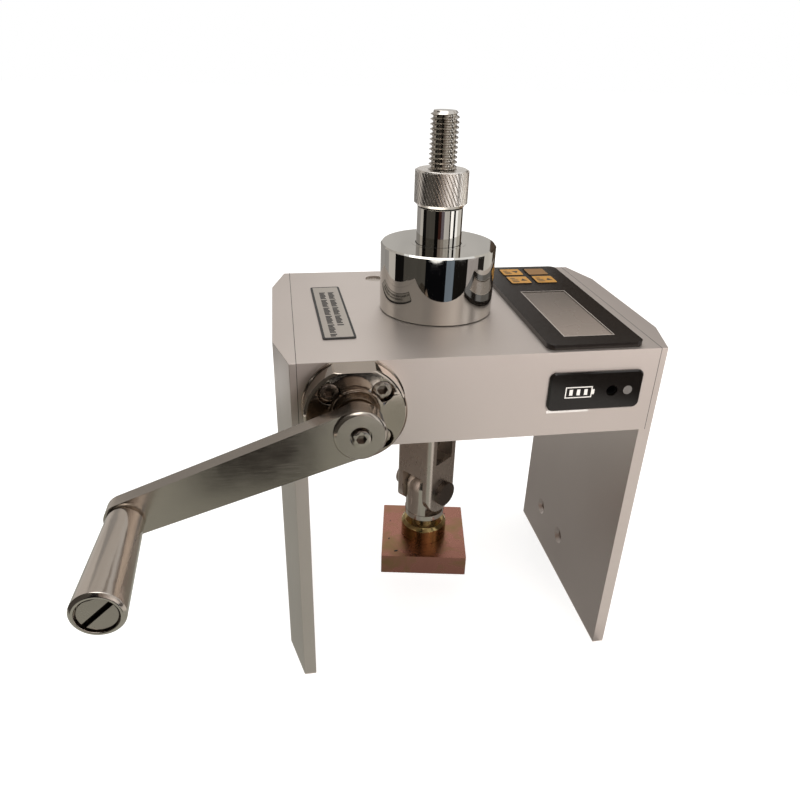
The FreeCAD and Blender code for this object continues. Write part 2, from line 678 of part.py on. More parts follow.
def involute(radius):
    """Involute angle at a radius of the wheel, zero below its base circle."""
    base = WHEEL_PITCH_R * math.cos(math.radians(PRESSURE_ANGLE))
    if radius <= base:
        return 0.0
    angle = math.acos(base / radius)
    return math.tan(angle) - angle


def tooth_gap():
    """Slanted cutter for one gap, its middle at -X, flanks as arcs along the involute."""
    def flank_point(radius, side):
        spread = math.pi / (2 * WHEEL_TEETH) + involute(radius) - involute(WHEEL_PITCH_R)
        return V(-radius * math.cos(spread), side * radius * math.sin(spread), 0)

    radii = (WHEEL_ROOT_R, WHEEL_PITCH_R, WHEEL_TIP_R + TIP_GAP)
    lower = [flank_point(r, -1) for r in radii]
    upper = [flank_point(r, 1) for r in radii]
    edges = [Part.LineSegment(upper[0], lower[0]).toShape(),
             Part.Arc(lower[0], lower[1], lower[2]).toShape(),
             Part.LineSegment(lower[2], upper[2]).toShape(),
             Part.Arc(upper[2], upper[1], upper[0]).toShape()]
    face = Part.Face(Part.Wire(edges))
    slope = WORM_STARTS * MODULE / (2 * WORM_PITCH_R)
    reach = WHEEL_FACE + MODULE
    face.translate(V(0, slope * reach / 2.0, CRANK_Z - reach / 2.0))
    return face.extrude(V(0, -slope * reach, reach))


def worm_wheel():
    """Bronze wheel with slanted teeth on a threaded hub."""
    mid = CRANK_Z
    half_face = WHEEL_FACE / 2.0
    half_web = WHEEL_WEB_T / 2.0
    rim_r = WHEEL_ROOT_R - WHEEL_RIM_T
    shoulder = ROOF_Z - BUSH_FLANGE_T - AXIAL_PLAY
    bore = SPINDLE_R + RUN_FIT
    wheel = turned([(bore, BEARING_TOP), (HUB_WIDE_R, BEARING_TOP), (HUB_WIDE_R, mid - half_web),
                    (rim_r, mid - half_web), (rim_r, mid - half_face),
                    (WHEEL_TIP_R, mid - half_face), (WHEEL_TIP_R, mid + half_face),
                    (rim_r, mid + half_face), (rim_r, mid + half_web),
                    (HUB_WIDE_R, mid + half_web), (HUB_WIDE_R, shoulder), (HUB_TOP_R, shoulder),
                    (HUB_TOP_R, TOP_Z - HUB_TOP_GAP), (bore, TOP_Z - HUB_TOP_GAP)])
    gap = tooth_gap()
    step = 360.0 / WHEEL_TEETH
    return wheel.cut([spun(gap, i * step) for i in range(WHEEL_TEETH)])


def thrust_rollers():
    """Rollers of the thrust bearing, lying like spokes."""
    z = BEARING_Z + RACE_T + ROLLER_R
    roller = cylinder(ROLLER_R - RUN_FIT / 2.0, RACE_BORE_R + ROLLER_R, RACE_R - ROLLER_R, (0.0, z), ACROSS)
    return [spun(roller, 360.0 * i / ROLLER_COUNT) for i in range(ROLLER_COUNT)]


def thrust_cage():
    """Flat ring with a pocket for each roller."""
    z = BEARING_Z + RACE_T + ROLLER_R
    half = ROLLER_CAGE_T / 2.0
    rim = ROLLER_R / 2.0
    cage = ring(RACE_R - rim, RACE_BORE_R + rim, z - half, z + half)
    pocket = box(RACE_BORE_R + ROLLER_R - RUN_FIT, RACE_R - ROLLER_R + RUN_FIT, -ROLLER_R, ROLLER_R,
                 z - half, z + half)
    return cage.cut([spun(pocket, 360.0 * i / ROLLER_COUNT) for i in range(ROLLER_COUNT)])


def upper_bush():
    """Flanged bush in the casing roof."""
    bore = HUB_TOP_R + RUN_FIT
    return turned([(bore, ROOF_Z - BUSH_FLANGE_T), (BUSH_FLANGE_R, ROOF_Z - BUSH_FLANGE_T),
                   (BUSH_FLANGE_R, ROOF_Z), (BUSH_OUT_R, ROOF_Z), (BUSH_OUT_R, TOP_Z), (bore, TOP_Z)])


def guide_box(clearance):
    """Room of one guide key on the +Y side, grown in width by a clearance."""
    half = GUIDE_W / 2.0 + clearance
    inner = TOWER_IN_R - GUIDE_REACH - clearance
    top = SLEEVE_FLANGE_Z + SLEEVE_FLANGE_T + LIFT_STROKE
    return box(-half, half, inner, TOWER_IN_R + GUIDE_INTO_WALL, TOP_Z, top - AXIAL_PLAY)


def guide_keys():
    """Two keys in the tower wall that stop the spindle from turning."""
    return [guide_box(0.0), spun(guide_box(0.0), 180)]


def cell_screw_places():
    """Screws through sleeve flange and load cell into the spindle."""
    angles = [math.radians(30 + 120 * i) for i in range(3)]
    return [(CELL_SCREW_CIRCLE * math.cos(a), CELL_SCREW_CIRCLE * math.sin(a)) for a in angles]


def lift_spindle():
    """Threaded tube that the wheel raises, with a flange guided by the keys."""
    spindle = turned([(ROD_BORE_R, BASE_TOP + AXIAL_PLAY), (SPINDLE_R, BASE_TOP + AXIAL_PLAY),
                      (SPINDLE_R, SPINDLE_FLANGE_Z), (SPINDLE_FLANGE_R, SPINDLE_FLANGE_Z),
                      (SPINDLE_FLANGE_R, CELL_Z), (ROD_BORE_R, CELL_Z)])
    for angle in (0, 180):
        spindle = spindle.cut(spun(guide_box(RUN_FIT), angle))
    for x, y in cell_screw_places():
        spindle = spindle.cut(cylinder(CELL_SCREW_R, SPINDLE_FLANGE_Z, CELL_Z, (x, y)))
    return spindle


def load_cell():
    """Ring load cell with a waist for its gauges."""
    top = SLEEVE_FLANGE_Z
    waist = CELL_R - CELL_WAIST
    cell = turned([(ROD_BORE_R, CELL_Z), (CELL_R, CELL_Z), (CELL_R, CELL_Z + CELL_RIM),
                   (waist, CELL_Z + CELL_RIM), (waist, top - CELL_RIM), (CELL_R, top - CELL_RIM),
                   (CELL_R, top), (ROD_BORE_R, top)])
    for x, y in cell_screw_places():
        cell = cell.cut(cylinder(CELL_SCREW_R, CELL_Z, top, (x, y)))
    return cell


def sleeve():
    """Chrome sleeve that comes out of the tower and carries the nut."""
    flange_top = SLEEVE_FLANGE_Z + SLEEVE_FLANGE_T
    tube = turned([(ROD_BORE_R, SLEEVE_FLANGE_Z), (CELL_R, SLEEVE_FLANGE_Z), (CELL_R, flange_top),
                   (SLEEVE_R, flange_top), (SLEEVE_R, SLEEVE_TOP_Z), (ROD_BORE_R, SLEEVE_TOP_Z)])
    for x, y in cell_screw_places():
        tube = tube.cut(cylinder(CELL_SCREW_R, SLEEVE_FLANGE_Z, flange_top, (x, y)))
    return tube


def cell_screws():
    """Three cap screws through the load cell."""
    seat = SLEEVE_FLANGE_Z + SLEEVE_FLANGE_T
    length = seat - SPINDLE_FLANGE_Z
    screw = socket_screw(CELL_SCREW_HEAD_R, CELL_SCREW_HEAD_H, CELL_SCREW_R, length)
    return [aimed(screw, (x, y, seat), (0, 0, 1)) for x, y in cell_screw_places()]


def tower_cap():
    """Chrome cap over the load cell, with keyways inside and a seal at the top."""
    foot = TOP_Z + GASKET_T
    under = TOWER_TOP - TOWER_ROOF
    hole = SLEEVE_R + 2 * RUN_FIT
    edge = TOWER_EDGE
    cap = turned([(TOWER_IN_R, foot), (TOWER_R, foot), (TOWER_R, TOWER_TOP - edge),
                  (TOWER_R - edge, TOWER_TOP), (hole, TOWER_TOP), (hole, under), (TOWER_IN_R, under)])
    cap = cap.cut(ring(SLEEVE_R + SEAL_W, SLEEVE_R, TOWER_TOP - SEAL_T, TOWER_TOP))
    for angle in (0, 180):
        cap = cap.cut(spun(guide_box(0.0), angle))
    depth = TOWER_SCREW_LENGTH - ROOF
    for x, y in tower_screw_places():
        cap = cap.cut(cylinder(TOWER_SCREW_R, TOP_Z, TOP_Z + depth, (x, y)))
    return cap


def tower_gasket():
    """Thin dark ring under the tower, open where the guide keys stand."""
    gasket = ring(TOWER_R - GASKET_INSET, TOWER_IN_R, TOP_Z, TOP_Z + GASKET_T)
    for x, y in tower_screw_places():
        gasket = gasket.cut(cylinder(TOWER_SCREW_R, TOP_Z, TOP_Z + GASKET_T, (x, y)))
    return gasket.cut([spun(guide_box(0.0), angle) for angle in (0, 180)])


def tower_screws():
    """Four cap screws from inside the casing."""
    screw = socket_screw(TOWER_SCREW_HEAD_R, TOWER_SCREW_HEAD_H, TOWER_SCREW_R, TOWER_SCREW_LENGTH)
    return [aimed(screw, (x, y, ROOF_Z), (0, 0, -1)) for x, y in tower_screw_places()]


def knurled_nut():
    """Hand nut on the pull rod."""
    bore = ROD_R + RUN_FIT
    edge = NUT_EDGE
    return turned([(bore, NUT_Z), (NUT_R - edge, NUT_Z), (NUT_R, NUT_Z + edge),
                   (NUT_R, NUT_TOP - edge), (NUT_R - edge, NUT_TOP), (bore, NUT_TOP)])


def pull_rod():
    """Threaded rod with a thin lower neck that carries the ball nut."""
    neck_top = CAGE_TOP + ROD_NECK_ABOVE_CAGE
    edge = ROD_EDGE
    rod = turned([(0, END_CAP_Z), (ROD_NECK_R, END_CAP_Z), (ROD_NECK_R, neck_top), (ROD_R, neck_top + edge),
                  (ROD_R, ROD_TOP - edge), (ROD_R - edge, ROD_TOP), (0, ROD_TOP)])
    return rod.cut(cylinder(END_CAP_SHANK_R, END_CAP_Z, END_CAP_Z + END_CAP_SHANK))


def rod_end_cap():
    """Flat screw that holds the ball nut on the rod, sunk in its hexagon."""
    foot = END_CAP_Z - END_CAP_H
    shank_top = END_CAP_Z + END_CAP_SHANK
    return turned([(0, foot), (END_CAP_R, foot), (END_CAP_R, END_CAP_Z), (END_CAP_SHANK_R, END_CAP_Z),
                   (END_CAP_SHANK_R, shank_top), (0, shank_top)])


def ball_nut():
    """Nut on the rod: ball above, which lets the cage swivel and tilt, and hexagon below."""
    foot = BALL_Z - BALL_NUT_DROP
    ball = Part.makeSphere(BALL_NUT_R, V(0, 0, BALL_Z))
    ball = ball.common(cylinder(BALL_NUT_R, BALL_Z, BALL_Z + BALL_NUT_TOP))
    six = hexagon(BALL_NUT_R, BALL_NUT_DROP)
    six.translate(V(0, 0, foot))
    nut = ball.fuse(spun(six, CAGE_TURN + BALL_NUT_TURN))
    nut = nut.cut([cylinder(ROD_NECK_R + RUN_FIT, foot, BALL_Z + BALL_NUT_TOP),
                   cylinder(END_CAP_R + RUN_FIT, foot, END_CAP_Z + RUN_FIT)])
    return nut.removeSplitter()


def clevis_cage():
    """Milled cage: ball seat above, window through the middle, two ears round the pin below."""
    half = CAGE_W / 2.0
    foot = PIN_Z - half
    block = rounded(box(-half, half, -half, half, foot, CAGE_TOP), CAGE_CORNER_R)
    window = box(-WINDOW_W / 2.0, WINDOW_W / 2.0, -half, half, WINDOW_TOP - WINDOW_H, WINDOW_TOP)
    slot_half = half - EAR_T
    slot = box(-half, half, -slot_half, slot_half, foot, SLOT_TOP)
    seat = Part.makeSphere(BALL_NUT_R + RUN_FIT, V(0, 0, BALL_Z))
    hole = cylinder(CAGE_HOLE_R, BALL_Z, CAGE_TOP)
    round_end = cylinder(half, -half, half, (0, PIN_Z), BACKWARD)
    below = box(-half, half, -half, half, foot, PIN_Z).cut(round_end)
    cage = block.cut([window, slot, seat, hole, below])
    cage = cage.cut(cylinder(PIN_R, -half, half, (0, PIN_Z), BACKWARD))
    return spun(cage, CAGE_TURN)


def clevis_pin():
    """Headed pin, its head on the front right."""
    half = CAGE_W / 2.0
    pin = cylinder(PIN_R, -half, half + PIN_TAIL, (0, PIN_Z), BACKWARD)
    head = cylinder(PIN_HEAD_R, -half - PIN_HEAD_T, -half, (0, PIN_Z), BACKWARD)
    return spun(pin.fuse(head).removeSplitter(), CAGE_TURN)


def pin_clip():
    """Push-on cap that holds the tail of the pin."""
    start = CAGE_W / 2.0
    cap = cylinder(CLIP_R, start, start + CLIP_T, (0, PIN_Z), BACKWARD)
    cap = cap.cut(cylinder(PIN_R, start, start + PIN_TAIL, (0, PIN_Z), BACKWARD))
    return spun(cap, CAGE_TURN)


def eye_stud():
    """Round bar with a domed end, milled flat for the ears, on a collar, neck and thread."""
    half_t = CAGE_W / 2.0 - EAR_T - EYE_SIDE_GAP
    bar = cylinder(EYE_R, STUD_DISC_TOP, PIN_Z).fuse(Part.makeSphere(EYE_R, V(0, 0, PIN_Z)))
    eye = bar.common(box(-EYE_R, EYE_R, -half_t, half_t, STUD_DISC_TOP, PIN_Z + EYE_R))
    disc_z = STUD_DISC_TOP - STUD_DISC_T
    eye = eye.fuse([cylinder(STUD_DISC_R, disc_z, STUD_DISC_TOP),
                    cylinder(STUD_NECK_R, BOSS_TOP, disc_z),
                    cylinder(STUD_THREAD_R, BOSS_TOP - THREAD_DEPTH, BOSS_TOP)])
    eye = eye.cut(cylinder(PIN_R + RUN_FIT, -half_t, half_t, (0, PIN_Z), BACKWARD))
    return spun(eye.removeSplitter(), CAGE_TURN)


def dolly_boss():
    """Brass boss of the dolly, tapped for the stud."""
    edge = BOSS_EDGE
    bore = STUD_THREAD_R + RUN_FIT
    return turned([(bore, DOLLY_TOP), (BOSS_R, DOLLY_TOP), (BOSS_R, BOSS_TOP - edge),
                   (BOSS_R - edge, BOSS_TOP), (bore, BOSS_TOP)])


def dolly_block():
    """Square test block, recessed for the end of the stud."""
    half = DOLLY_W / 2.0
    block = box(-half, half, -half, half, DOLLY_Z, DOLLY_TOP)
    block = rounded(block, DOLLY_EDGE)
    floor = BOSS_TOP - THREAD_DEPTH - AXIAL_PLAY
    block = block.cut(cylinder(STUD_THREAD_R + RUN_FIT, floor, DOLLY_TOP))
    return spun(block, DOLLY_TURN)


def arm_outline(start_r, end_r):
    """Face of two rounds joined by their tangents, in the plane of the arm."""
    hub = V(CRANK_X, 0, CRANK_Z)
    pivot = V(PIVOT_X, 0, PIVOT_Z)
    lean = math.acos((start_r - end_r) / CRANK_RADIUS)
    along = math.radians(CRANK_ANGLE)

    def rim(centre, radius, angle):
        return centre + V(radius * math.cos(angle), 0, radius * math.sin(angle))

    edges = [Part.Arc(rim(hub, start_r, along + lean), rim(hub, start_r, along + math.pi),
                      rim(hub, start_r, along - lean)).toShape(),
             Part.LineSegment(rim(hub, start_r, along - lean), rim(pivot, end_r, along - lean)).toShape(),
             Part.Arc(rim(pivot, end_r, along - lean), rim(pivot, end_r, along),
                      rim(pivot, end_r, along + lean)).toShape(),
             Part.LineSegment(rim(pivot, end_r, along + lean), rim(hub, start_r, along + lean)).toShape()]
    return Part.Face(Part.Wire(edges))


def crank_arm():
    """Tapered arm, hub and neck in one piece."""
    at = (CRANK_X, CRANK_Z)
    arm = arm_outline(HUB_R, ARM_END_R)
    arm.translate(V(0, ARM_FRONT, 0))
    arm = arm.extrude(V(0, ARM_T, 0))
    hub = cylinder(HUB_R, HUB_FRONT, HUB_BACK, at, BACKWARD)
    rims = [e for e in hub.Edges if isinstance(e.Curve, Part.Circle)]
    hub = hub.makeChamfer(HUB_EDGE, rims)
    neck = cylinder(NECK_R, HUB_BACK, SPIGOT_FRONT - AXIAL_PLAY, at, BACKWARD)
    arm = arm.fuse([hub, neck])
    arm = arm.cut([cylinder(SHAFT_R, SHAFT_FRONT, SPIGOT_FRONT, at, BACKWARD),
                   cylinder(HUB_SCREW_R, HUB_FRONT, SHAFT_FRONT, at, BACKWARD),
                   cylinder(HUB_SINK_R, HUB_FRONT, HUB_FRONT + HUB_SINK_H, at, BACKWARD),
                   cylinder(GRIP_BOLT_R, ARM_FRONT, ARM_BACK, (PIVOT_X, PIVOT_Z), BACKWARD),
                   hub_key()])
    return arm.removeSplitter()


def hub_screw():
    """Cap screw that holds the arm on the shaft."""
    screw = socket_screw(HUB_HEAD_R, HUB_HEAD_H, HUB_SCREW_R, HUB_SCREW_LENGTH)
    return aimed(screw, (CRANK_X, HUB_FRONT + HUB_SINK_H, CRANK_Z), (0, -1, 0))


def grip():
    """Turning grip, slim at the arm and swelling to its end."""
    length = GRIP_LENGTH
    sink = GRIP_HEAD_DOWN + GRIP_HEAD_H
    bore = GRIP_BOLT_R + RUN_FIT
    edge = HUB_EDGE
    body = turned([(bore, 0), (GRIP_ROOT_R - edge, 0), (GRIP_ROOT_R, edge), (GRIP_ROOT_R, GRIP_SHOULDER),
                   (GRIP_END_R, length - edge), (GRIP_END_R - edge, length), (GRIP_SINK_R, length),
                   (GRIP_SINK_R, length - sink), (bore, length - sink)])
    return aimed(body, (PIVOT_X, GRIP_BACK, PIVOT_Z), (0, -1, 0))


def grip_bolt():
    """Slotted bolt, the axle of the grip."""
    head_out = GRIP_FRONT + GRIP_HEAD_DOWN
    head_in = head_out + GRIP_HEAD_H - RUN_FIT
    at = (PIVOT_X, PIVOT_Z)
    bolt = cylinder(GRIP_BOLT_R, head_in, ARM_BACK, at, BACKWARD)
    bolt = bolt.fuse(cylinder(GRIP_HEAD_R, head_out, head_in, at, BACKWARD))
    half = GRIP_SLOT / 2.0
    slot = box(PIVOT_X - GRIP_HEAD_R, PIVOT_X + GRIP_HEAD_R, head_out, head_out + GRIP_SLOT_DEPTH,
               PIVOT_Z - half, PIVOT_Z + half)
    slot.rotate(V(PIVOT_X, 0, PIVOT_Z), BACKWARD, -GRIP_SLOT_ANGLE)
    return bolt.cut(slot).removeSplitter()


def display_panel():
    """Gloss cover with a screen window and four key holes."""
    panel = rounded(box(PANEL_X0, PANEL_X1, PANEL_Y0, PANEL_Y1, TOP_Z, TOP_Z + PANEL_T), PANEL_CORNER_R)
    top = TOP_Z + PANEL_T
    panel = panel.cut(box(SCREEN_X0, SCREEN_X0 + SCREEN_W, SCREEN_Y0, SCREEN_Y0 + SCREEN_L, TOP_Z, top))
    for x0, x1, y0, y1 in key_boxes():
        fit = PANEL_FIT
        panel = panel.cut(box(x0 - fit, x1 + fit, y0 - fit, y1 + fit, TOP_Z, top))
    return panel


def display_lens():
    """Clear window in the panel, resting on the display module."""
    lens = box(SCREEN_X0, SCREEN_X0 + SCREEN_W, SCREEN_Y0, SCREEN_Y0 + SCREEN_L,
               TOP_Z, TOP_Z + PANEL_T - LENS_DOWN)
    return lens


def display_module():
    """Liquid crystal module, its frame filling the cut-out in the roof."""
    rim = MODULE_FRAME
    return box(SCREEN_X0 - rim, SCREEN_X0 + SCREEN_W + rim, SCREEN_Y0 - rim,
               SCREEN_Y0 + SCREEN_L + rim, BOARD_TOP, TOP_Z)


def main_board():
    """Circuit board under the roof, on its pillars and the display module."""
    x0, x1, y0, y1 = BOARD
    return box(x0, x1, y0, y1, BOARD_TOP - BOARD_T, BOARD_TOP)


def key_switches():
    """One push switch under each key."""
    switches = []
    for x0, x1, y0, y1 in key_boxes():
        x = (x0 + x1) / 2.0
        y = (y0 + y1) / 2.0
        half = SWITCH_W / 2.0
        body = box(x - half, x + half, y - half, y + half, BOARD_TOP, BOARD_TOP + SWITCH_H)
        top = TOP_Z - KEY_T - KEY_TRAVEL - RUN_FIT
        body = body.fuse(cylinder(KEY_STEM_R, BOARD_TOP + SWITCH_H, top, (x, y)))
        switches.append(body.removeSplitter())
    return switches


def key_cap(outline):
    """Key with a hidden flange under the panel."""
    x0, x1, y0, y1 = outline
    grow = KEY_FLANGE / 2.0 - PANEL_FIT
    cap = box(x0, x1, y0, y1, TOP_Z - RUN_FIT, TOP_Z + PANEL_T + KEY_PROUD)
    foot = box(x0 - grow, x1 + grow, y0 - grow, y1 + grow, TOP_Z - KEY_T, TOP_Z - RUN_FIT)
    return cap.fuse(foot).removeSplitter()


def battery_pack():
    """Rechargeable pack on the base plate, below the board."""
    x0, x1, y0, y1 = CAVITY
    mid_y = (y0 + y1) / 2.0
    right = x1 - POST - BATTERY_GAP
    block = box(right - BATTERY_W, right, mid_y - BATTERY_L / 2.0, mid_y + BATTERY_L / 2.0,
                BASE_TOP, BASE_TOP + BATTERY_H)
    return rounded(block, BATTERY_CORNER_R, BACKWARD)


def charge_panel():
    """Small bezel round the charging jack and its lamp."""
    plate = box(CHARGE_X1 - CHARGE_W, CHARGE_X1, FRONT_Y - CHARGE_T, FRONT_Y,
                CHARGE_Z1 - CHARGE_H, CHARGE_Z1)
    plate = rounded(plate, CHARGE_CORNER_R, BACKWARD)
    rim = [e for e in plate.Edges if e.BoundBox.YMax < FRONT_Y - CHARGE_T + 1e-6]
    plate = plate.makeChamfer(CHARGE_EDGE, rim)
    for x, radius in ((JACK_X, JACK_HOLE_R), (LED_X, LED_R)):
        plate = plate.cut(cylinder(radius, FRONT_Y - CHARGE_T, FRONT_Y, (x, JACK_Z), BACKWARD))
    return plate


def charge_jack():
    """Barrel jack behind the bezel, open to the front."""
    half = JACK_BODY_W / 2.0
    inside = FRONT_Y + WALL
    body = box(JACK_X - half, JACK_X + half, inside, inside + JACK_BODY_L, JACK_Z - half, JACK_Z + half)
    barrel = cylinder(JACK_BARREL_R, FRONT_Y, inside, (JACK_X, JACK_Z), BACKWARD)
    return body.fuse(barrel).cut(cylinder(JACK_HOLE_R, FRONT_Y, inside, (JACK_X, JACK_Z), BACKWARD))


def charge_lamp():
    """Lamp with a round lens, flush with the bezel."""
    at = (LED_X, JACK_Z)
    return cylinder(LED_R, FRONT_Y - CHARGE_T, FRONT_Y + WALL, at, BACKWARD)


def name_plate():
    """Thin plate on the top, a little out of square."""
    plate = box(-LABEL_W / 2.0, LABEL_W / 2.0, -LABEL_L / 2.0, LABEL_L / 2.0, TOP_Z, TOP_Z + LABEL_T)
    plate = spun(plate, LABEL_TURN)
    plate.translate(V(LABEL_X, LABEL_Y, 0))
    return plate


def top_plug():
    """Plug in the round hole behind the tower."""
    top = TOP_Z - PLUG_DOWN
    return cylinder(PLUG_R, top - PLUG_T, top, (PLUG_X, PLUG_Y))


def save_frame():
    """Side plates, casing and what closes it."""
    save("side_plate_left", side_plate(OUT_L, 1))
    save("side_plate_right", side_plate(OUT_R, -1))
    save("casing", casing())
    save("base_plate", base_plate())
    save("base_screws", *base_screws())
    save("plate_screws", *plate_screws())
    save("top_plug", top_plug())
    save("name_plate", name_plate())


def save_drive():
    """Crank side and worm drive."""
    at = (CRANK_X, CRANK_Z)
    bush_r = SHAFT_R + BUSH_WALL
    bore_r = SHAFT_R + RUN_FIT
    save("bearing_flange", bearing_flange())
    save("flange_screws", *flange_screws())
    save("front_bush", ring(bush_r, bore_r, SPIGOT_FRONT, SPIGOT_FRONT + FRONT_BUSH_LENGTH, at, BACKWARD))
    save("rear_bush", ring(bush_r, bore_r, REAR_BUSH_START, REAR_BUSH_END, at, BACKWARD))
    save("crank_shaft", crank_shaft())
    save("worm", worm())
    save("worm_pin", worm_pin())
    save("crank_arm", crank_arm())
    save("hub_key", hub_key())
    save("hub_screw", hub_screw())
    save("grip", grip())
    save("grip_bolt", grip_bolt())
    save("worm_wheel", worm_wheel())
    save("upper_bush", upper_bush())
    save("race_lower", ring(RACE_R, RACE_BORE_R, BEARING_Z, BEARING_Z + RACE_T))
    save("race_upper", ring(RACE_R, RACE_BORE_R, BEARING_TOP - RACE_T, BEARING_TOP))
    save("thrust_rollers", *thrust_rollers())
    save("thrust_cage", thrust_cage())


def save_lift():
    """Tower and what rises in it."""
    save("tower_cap", tower_cap())
    save("tower_gasket", tower_gasket())
    save("tower_screws", *tower_screws())
    save("guide_keys", *guide_keys())
    save("sleeve_seal", ring(SLEEVE_R + SEAL_W, SLEEVE_R + RUN_FIT, TOWER_TOP - SEAL_T, TOWER_TOP))
    save("lift_spindle", lift_spindle())
    save("load_cell", load_cell())
    save("sleeve", sleeve())
    save("cell_screws", *cell_screws())
    save("nut_washer", ring(WASHER_R, ROD_BORE_R, SLEEVE_TOP_Z, NUT_Z))
    save("knurled_nut", knurled_nut())


def save_linkage():
    """Pull rod down to the dolly."""
    save("pull_rod", pull_rod())
    save("rod_end_cap", rod_end_cap())
    save("ball_nut", ball_nut())
    save("clevis_cage", clevis_cage())
    save("clevis_pin", clevis_pin())
    save("pin_clip", pin_clip())
    save("eye_stud", eye_stud())
    save("dolly_boss", dolly_boss())
    save("dolly_block", dolly_block())


def save_electronics():
    """Display, keys, board, battery and charging panel."""
    save("display_panel", display_panel())
    save("display_lens", display_lens())
    save("display_module", display_module())
    save("main_board", main_board())
    save("key_switches", *key_switches())
    for number, outline in enumerate(key_boxes(), 1):
        save("key_%d" % number, key_cap(outline))
    save("battery_pack", battery_pack())
    save("charge_panel", charge_panel())
    save("charge_jack", charge_jack())
    save("charge_lamp", charge_lamp())


os.makedirs("parts", exist_ok=True)
save_frame()
save_drive()
save_lift()
save_linkage()
save_electronics()
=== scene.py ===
# %% [markdown]
# # Dressing a crank-driven pull-off adhesion tester
# The frame comes from CAD: casing, legs, crank, tower, pull rod, clevis and dolly, each at its
# real size. This notebook gives every piece its finish and models what CAD leaves plain, such
# as the thread, the knurling and the printing. Everything is in metres.

# %% Load the frame
import math

import bmesh
import bpy
from mathutils import Matrix, Vector


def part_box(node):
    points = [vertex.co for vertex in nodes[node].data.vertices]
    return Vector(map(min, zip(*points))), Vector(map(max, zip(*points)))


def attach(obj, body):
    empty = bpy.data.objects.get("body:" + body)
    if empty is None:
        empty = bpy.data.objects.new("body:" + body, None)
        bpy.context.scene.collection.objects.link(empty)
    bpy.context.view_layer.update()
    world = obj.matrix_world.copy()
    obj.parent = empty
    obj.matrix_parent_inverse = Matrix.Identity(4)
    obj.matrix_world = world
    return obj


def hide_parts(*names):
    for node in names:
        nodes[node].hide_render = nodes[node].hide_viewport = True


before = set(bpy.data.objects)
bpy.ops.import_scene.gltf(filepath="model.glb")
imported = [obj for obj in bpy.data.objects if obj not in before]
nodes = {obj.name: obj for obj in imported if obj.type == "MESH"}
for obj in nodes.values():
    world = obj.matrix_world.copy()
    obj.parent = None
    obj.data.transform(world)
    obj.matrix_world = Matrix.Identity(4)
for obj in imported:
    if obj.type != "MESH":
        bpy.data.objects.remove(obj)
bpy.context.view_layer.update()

MM = 0.001

# %% [markdown]
# ## Camera
# The picture was taken from above and to the left with a wide lens. The camera could be placed
# by eye, but edges of a box-shaped object fix it exactly, so its place and its three turns are
# the result of that measurement. The focal length is known in pixels of an 800 pixel image,
# which a 36 mm sensor turns into millimetres.

# %% Camera
CAMERA_PLACE = Vector((-61.26, -265.91, 248.19)) * MM
CAMERA_YAW = -0.17729
CAMERA_PITCH = -0.48267
CAMERA_ROLL = 0.03056
FOCAL_PIXELS = 687.0
IMAGE_PIXELS = 800.0
SENSOR = 36.0

camera_data = bpy.data.cameras.new("camera")
camera_data.sensor_width = SENSOR
camera_data.lens = FOCAL_PIXELS / IMAGE_PIXELS * SENSOR
camera_data.clip_start = 10 * MM
camera = bpy.data.objects.new("camera", camera_data)
bpy.context.collection.objects.link(camera)
camera.matrix_world = (Matrix.Translation(CAMERA_PLACE)
                       @ Matrix.Rotation(CAMERA_YAW, 4, "Z")
                       @ Matrix.Rotation(math.pi / 2 + CAMERA_PITCH, 4, "X")
                       @ Matrix.Rotation(CAMERA_ROLL, 4, "Z"))
bpy.context.scene.camera = camera
print("lens mm:", round(camera_data.lens, 2))

# %% [markdown]
# ## Colour, scale and one helper for shader nodes
# Colours are written as sRGB hex values, the way a paint chart gives them, and the shader wants
# linear light. Pattern scales are worked out from a real size: noise of scale 1000 has features
# about a millimetre wide when the object is measured in metres.

# %% Helpers for materials
def linear(hex_colour):
    """sRGB hex to linear RGBA."""
    values = [int(hex_colour[i:i + 2], 16) / 255 for i in (1, 3, 5)]
    return tuple(v / 12.92 if v <= 0.04045 else ((v + 0.055) / 1.055) ** 2.4 for v in values) + (1.0,)


def per_mm(size):
    """Texture scale for features of this many millimetres."""
    return 1 / (size * MM)


def add(tree, kind, inputs=None, **settings):
    """Adds one shader node with its settings, values and links."""
    node = tree.nodes.new(kind)
    for key, value in settings.items():
        setattr(node, key, value)
    for key, value in (inputs or {}).items():
        if isinstance(value, bpy.types.NodeSocket):
            tree.links.new(value, node.inputs[key])
        else:
            node.inputs[key].default_value = value
    return node


def start_material(name):
    """An empty material, its node tree and its Object coordinates."""
    material = bpy.data.materials.new(name)
    material.use_nodes = True
    tree = material.node_tree
    tree.nodes.clear()
    return material, tree, add(tree, "ShaderNodeTexCoord").outputs["Object"]


def close_material(tree, **inputs):
    """Principled shader and output. Input names use _ for a space."""
    sockets = {name.replace("_", " "): value for name, value in inputs.items()}
    shader = add(tree, "ShaderNodeBsdfPrincipled", sockets)
    add(tree, "ShaderNodeOutputMaterial", {"Surface": shader.outputs["BSDF"]})


print("mid grey is", round(linear("#808080")[0], 3))

# %% [markdown]
# ## Bead blasted anodised aluminium
# Casing and legs are milled aluminium, blasted with fine glass beads and anodised. The eye sees
# a pale warm grey metal with a broad soft highlight and no direction in it. Blast craters are
# about 0.1 mm, too fine to show here, so the grain is drawn at 0.3 mm.

